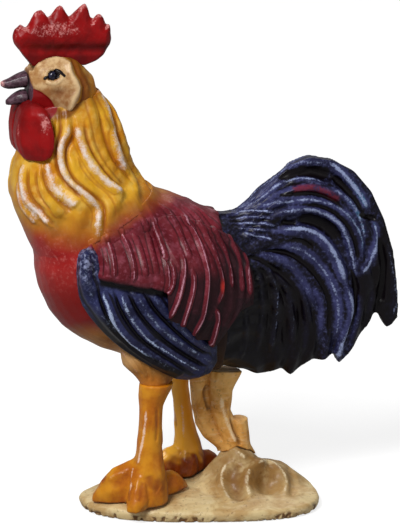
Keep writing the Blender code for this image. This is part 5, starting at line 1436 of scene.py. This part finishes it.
def add_ground():
    """Ground with a gouged bowl and a lower edge whose chips run upwards, with painted shade in them."""
    base = Carving("carved_ground", "base", grain=0.33, soften=9)
    tree = solid_tree(["base"])
    base.strokes(GROUND_RIDGES + GROUND_GROOVES, tree, both_sides=False)
    height = base.points[:, 2]
    faces_up = base.normals[:, 2]
    top = beyond(faces_up, 0.1, 0.4)
    bowl = np.array(laid_point(GROUND_BOWL, tree))
    away = np.linalg.norm((base.points - bowl) * [1.0, 1.0, 0.8], axis=1)
    base.lift -= 1.5 * within(away, 4.6) * top
    # Painted shade in the grooves and the bowl.
    base.painted_shade = strongest(0.55 * base.painted_shade, 0.4 * within(away, 3.6) * top)
    rim = beyond(height, 3.4, -2.4) * beyond(faces_up, 0.75, -0.5)
    squeezed = base.points * [1.0, 1.0, 0.3]
    chips = beyond(hills(squeezed, 2.6, 9.0) + 0.7 * hills(squeezed, 1.3, 4.0), 0.12, 0.45)
    chips *= beyond(height, 2.2 + 0.8 * hills(squeezed, 5.0, 3.0), -1.2)
    base.lift -= rim * (0.1 + 0.3 * chips)
    # Painted shade in the chips, and the lower edge darker towards the bottom.
    darker_at_bottom = 0.5 * beyond(height, 1.1 + 0.6 * hills(squeezed, 3.0, 6.0), -0.7)
    base.painted_shade = strongest(base.painted_shade, rim * strongest(chips * 0.85, darker_at_bottom))
    base.zone("earth", spot(in_photo(base.points), MOUND_EARTH))
    base.lift += 0.14 * hills(base.points, 7.0, 7.0) * top - 0.15 * top
    paint = wood_paint(
        "ground_paint", light=srgb(224, 200, 148), dark=srgb(192, 156, 102), cuts=srgb(104, 60, 24),
        worn=srgb(240, 222, 184),
    )
    dress(base, paint)


def add_eye(word, material):
    """Domed eye, a little smaller than its solid."""
    low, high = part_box(word + "_eye")
    middle = (Vector(low) + Vector(high)) / 2.0
    bpy.ops.object.select_all(action="DESELECT")
    bpy.ops.mesh.primitive_uv_sphere_add(segments=32, ring_count=16, radius=0.5, location=middle)
    ball = bpy.context.active_object
    ball.name = word + "_eye_dome"
    ball.scale = (Vector(high) - Vector(low)) * EYE_FILL
    bpy.ops.object.transform_apply(location=True, rotation=True, scale=True)
    bpy.ops.object.shade_smooth()
    ball.data.materials.append(material)
    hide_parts(word + "_eye")
    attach(ball, "root")


def add_rooster():
    """All painted pieces of the figure, and bare wood on the dowels inside it."""
    near = solid_tree(
        [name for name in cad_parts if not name.endswith("_dowel") and not name.startswith("right_")]
    )
    neck = solid_tree(["hackle", "body", "left_wing", "left_coverts", "left_saddle", "head", "left_wattle"])
    feathers = plumage()
    add_neck_cape(neck, feathers)
    add_body(near, feathers)
    wing_coat = wing_paint()
    for word in SIDES:
        add_wing(word, near, wing_coat)
        add_coverts(word, near, feathers)
        add_saddle(word, near, feathers)
    add_tail()
    red = red_paint()
    add_comb(red)
    for word in SIDES:
        add_wattle(word, red)
    add_head(neck, feathers)
    horn = horn_paint()
    add_beak("upper_beak", 1.0, 0.8, horn)
    add_beak("lower_beak", 0.0, 0.4, horn)
    legs = leg_paint()
    # The far leg gets the brighter coat of painted light.
    add_leg("left", 1.0, far=0.0, pool_top=8.5, pool_shade=0.5, material=legs)
    add_leg("right", 2.0, far=1.0, pool_top=13.5, pool_shade=0.85, material=legs)
    add_stump()
    add_ground()
    dark = eye_paint()
    for word in SIDES:
        add_eye(word, dark)
    plain = bare_wood_paint()
    for name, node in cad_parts.items():
        if name.endswith("_dowel"):
            node.data.materials.clear()
            node.data.materials.append(plain)


# The studio.


def add_floor():
    """Grey floor that the camera sees nearly white."""
    bpy.ops.object.select_all(action="DESELECT")
    bpy.ops.mesh.primitive_plane_add(size=FLOOR_SIZE, location=(0.0, 0.0, 0.0))
    floor = bpy.context.active_object
    floor.name = "studio_floor"
    material = bpy.data.materials.new("studio_white")
    material.use_nodes = True
    recipe = Recipe(material.node_tree)
    direct = recipe.add("ShaderNodeLightPath", output="Is Camera Ray")
    shader = recipe.tree.nodes["Principled BSDF"]
    recipe.feed(shader.inputs["Base Color"], FLOOR_COLOUR)
    recipe.feed(shader.inputs["Roughness"], FLOOR_ROUGHNESS)
    recipe.feed(shader.inputs["Specular IOR Level"], FLOOR_SPECULAR)
    recipe.feed(shader.inputs["Emission Color"], WHITE)
    recipe.feed(shader.inputs["Emission Strength"], direct * FLOOR_GLOW)
    floor.data.materials.append(material)


def add_air():
    """White world that lights the figure only faintly."""
    world = bpy.data.worlds.new("studio_air")
    world.use_nodes = True
    bpy.context.scene.world = world
    recipe = Recipe(world.node_tree)
    direct = recipe.add("ShaderNodeLightPath", output="Is Camera Ray")
    strength = recipe.add("ShaderNodeMapRange", Value=direct, To_Min=AIR_LIGHT, To_Max=1.0)
    background = recipe.tree.nodes["Background"]
    recipe.feed(background.inputs["Color"], WHITE)
    recipe.feed(background.inputs["Strength"], strength)


def add_lamp(name, place, size, power):
    """Square soft lamp aimed at the middle of the figure."""
    data = bpy.data.lights.new(name, "AREA")
    data.shape = "SQUARE"
    data.size = size
    data.energy = power
    lamp = bpy.data.objects.new(name, data)
    bpy.context.scene.collection.objects.link(lamp)
    lamp.location = place
    towards = Vector(LAMP_AIM) - Vector(place)
    lamp.rotation_euler = towards.to_track_quat("-Z", "Y").to_euler()


def add_camera():
    """The photograph's camera."""
    data = bpy.data.cameras.new("photo_camera")
    data.sensor_width = SENSOR_WIDTH
    data.lens = SENSOR_WIDTH * VIEW_DISTANCE / VIEW_WIDTH
    data.sensor_fit = "HORIZONTAL"
    data.clip_start = NEAREST_SEEN
    camera = bpy.data.objects.new("photo_camera", data)
    bpy.context.scene.collection.objects.link(camera)
    camera.location = VIEW_PLACE
    camera.rotation_euler = TO_BACK.to_track_quat("Z", "Y").to_euler()
    bpy.context.scene.camera = camera
    bpy.context.scene.view_settings.view_transform = "Standard"


add_rooster()
add_floor()
add_air()
for lamp_values in LAMPS:
    add_lamp(*lamp_values)
add_camera()
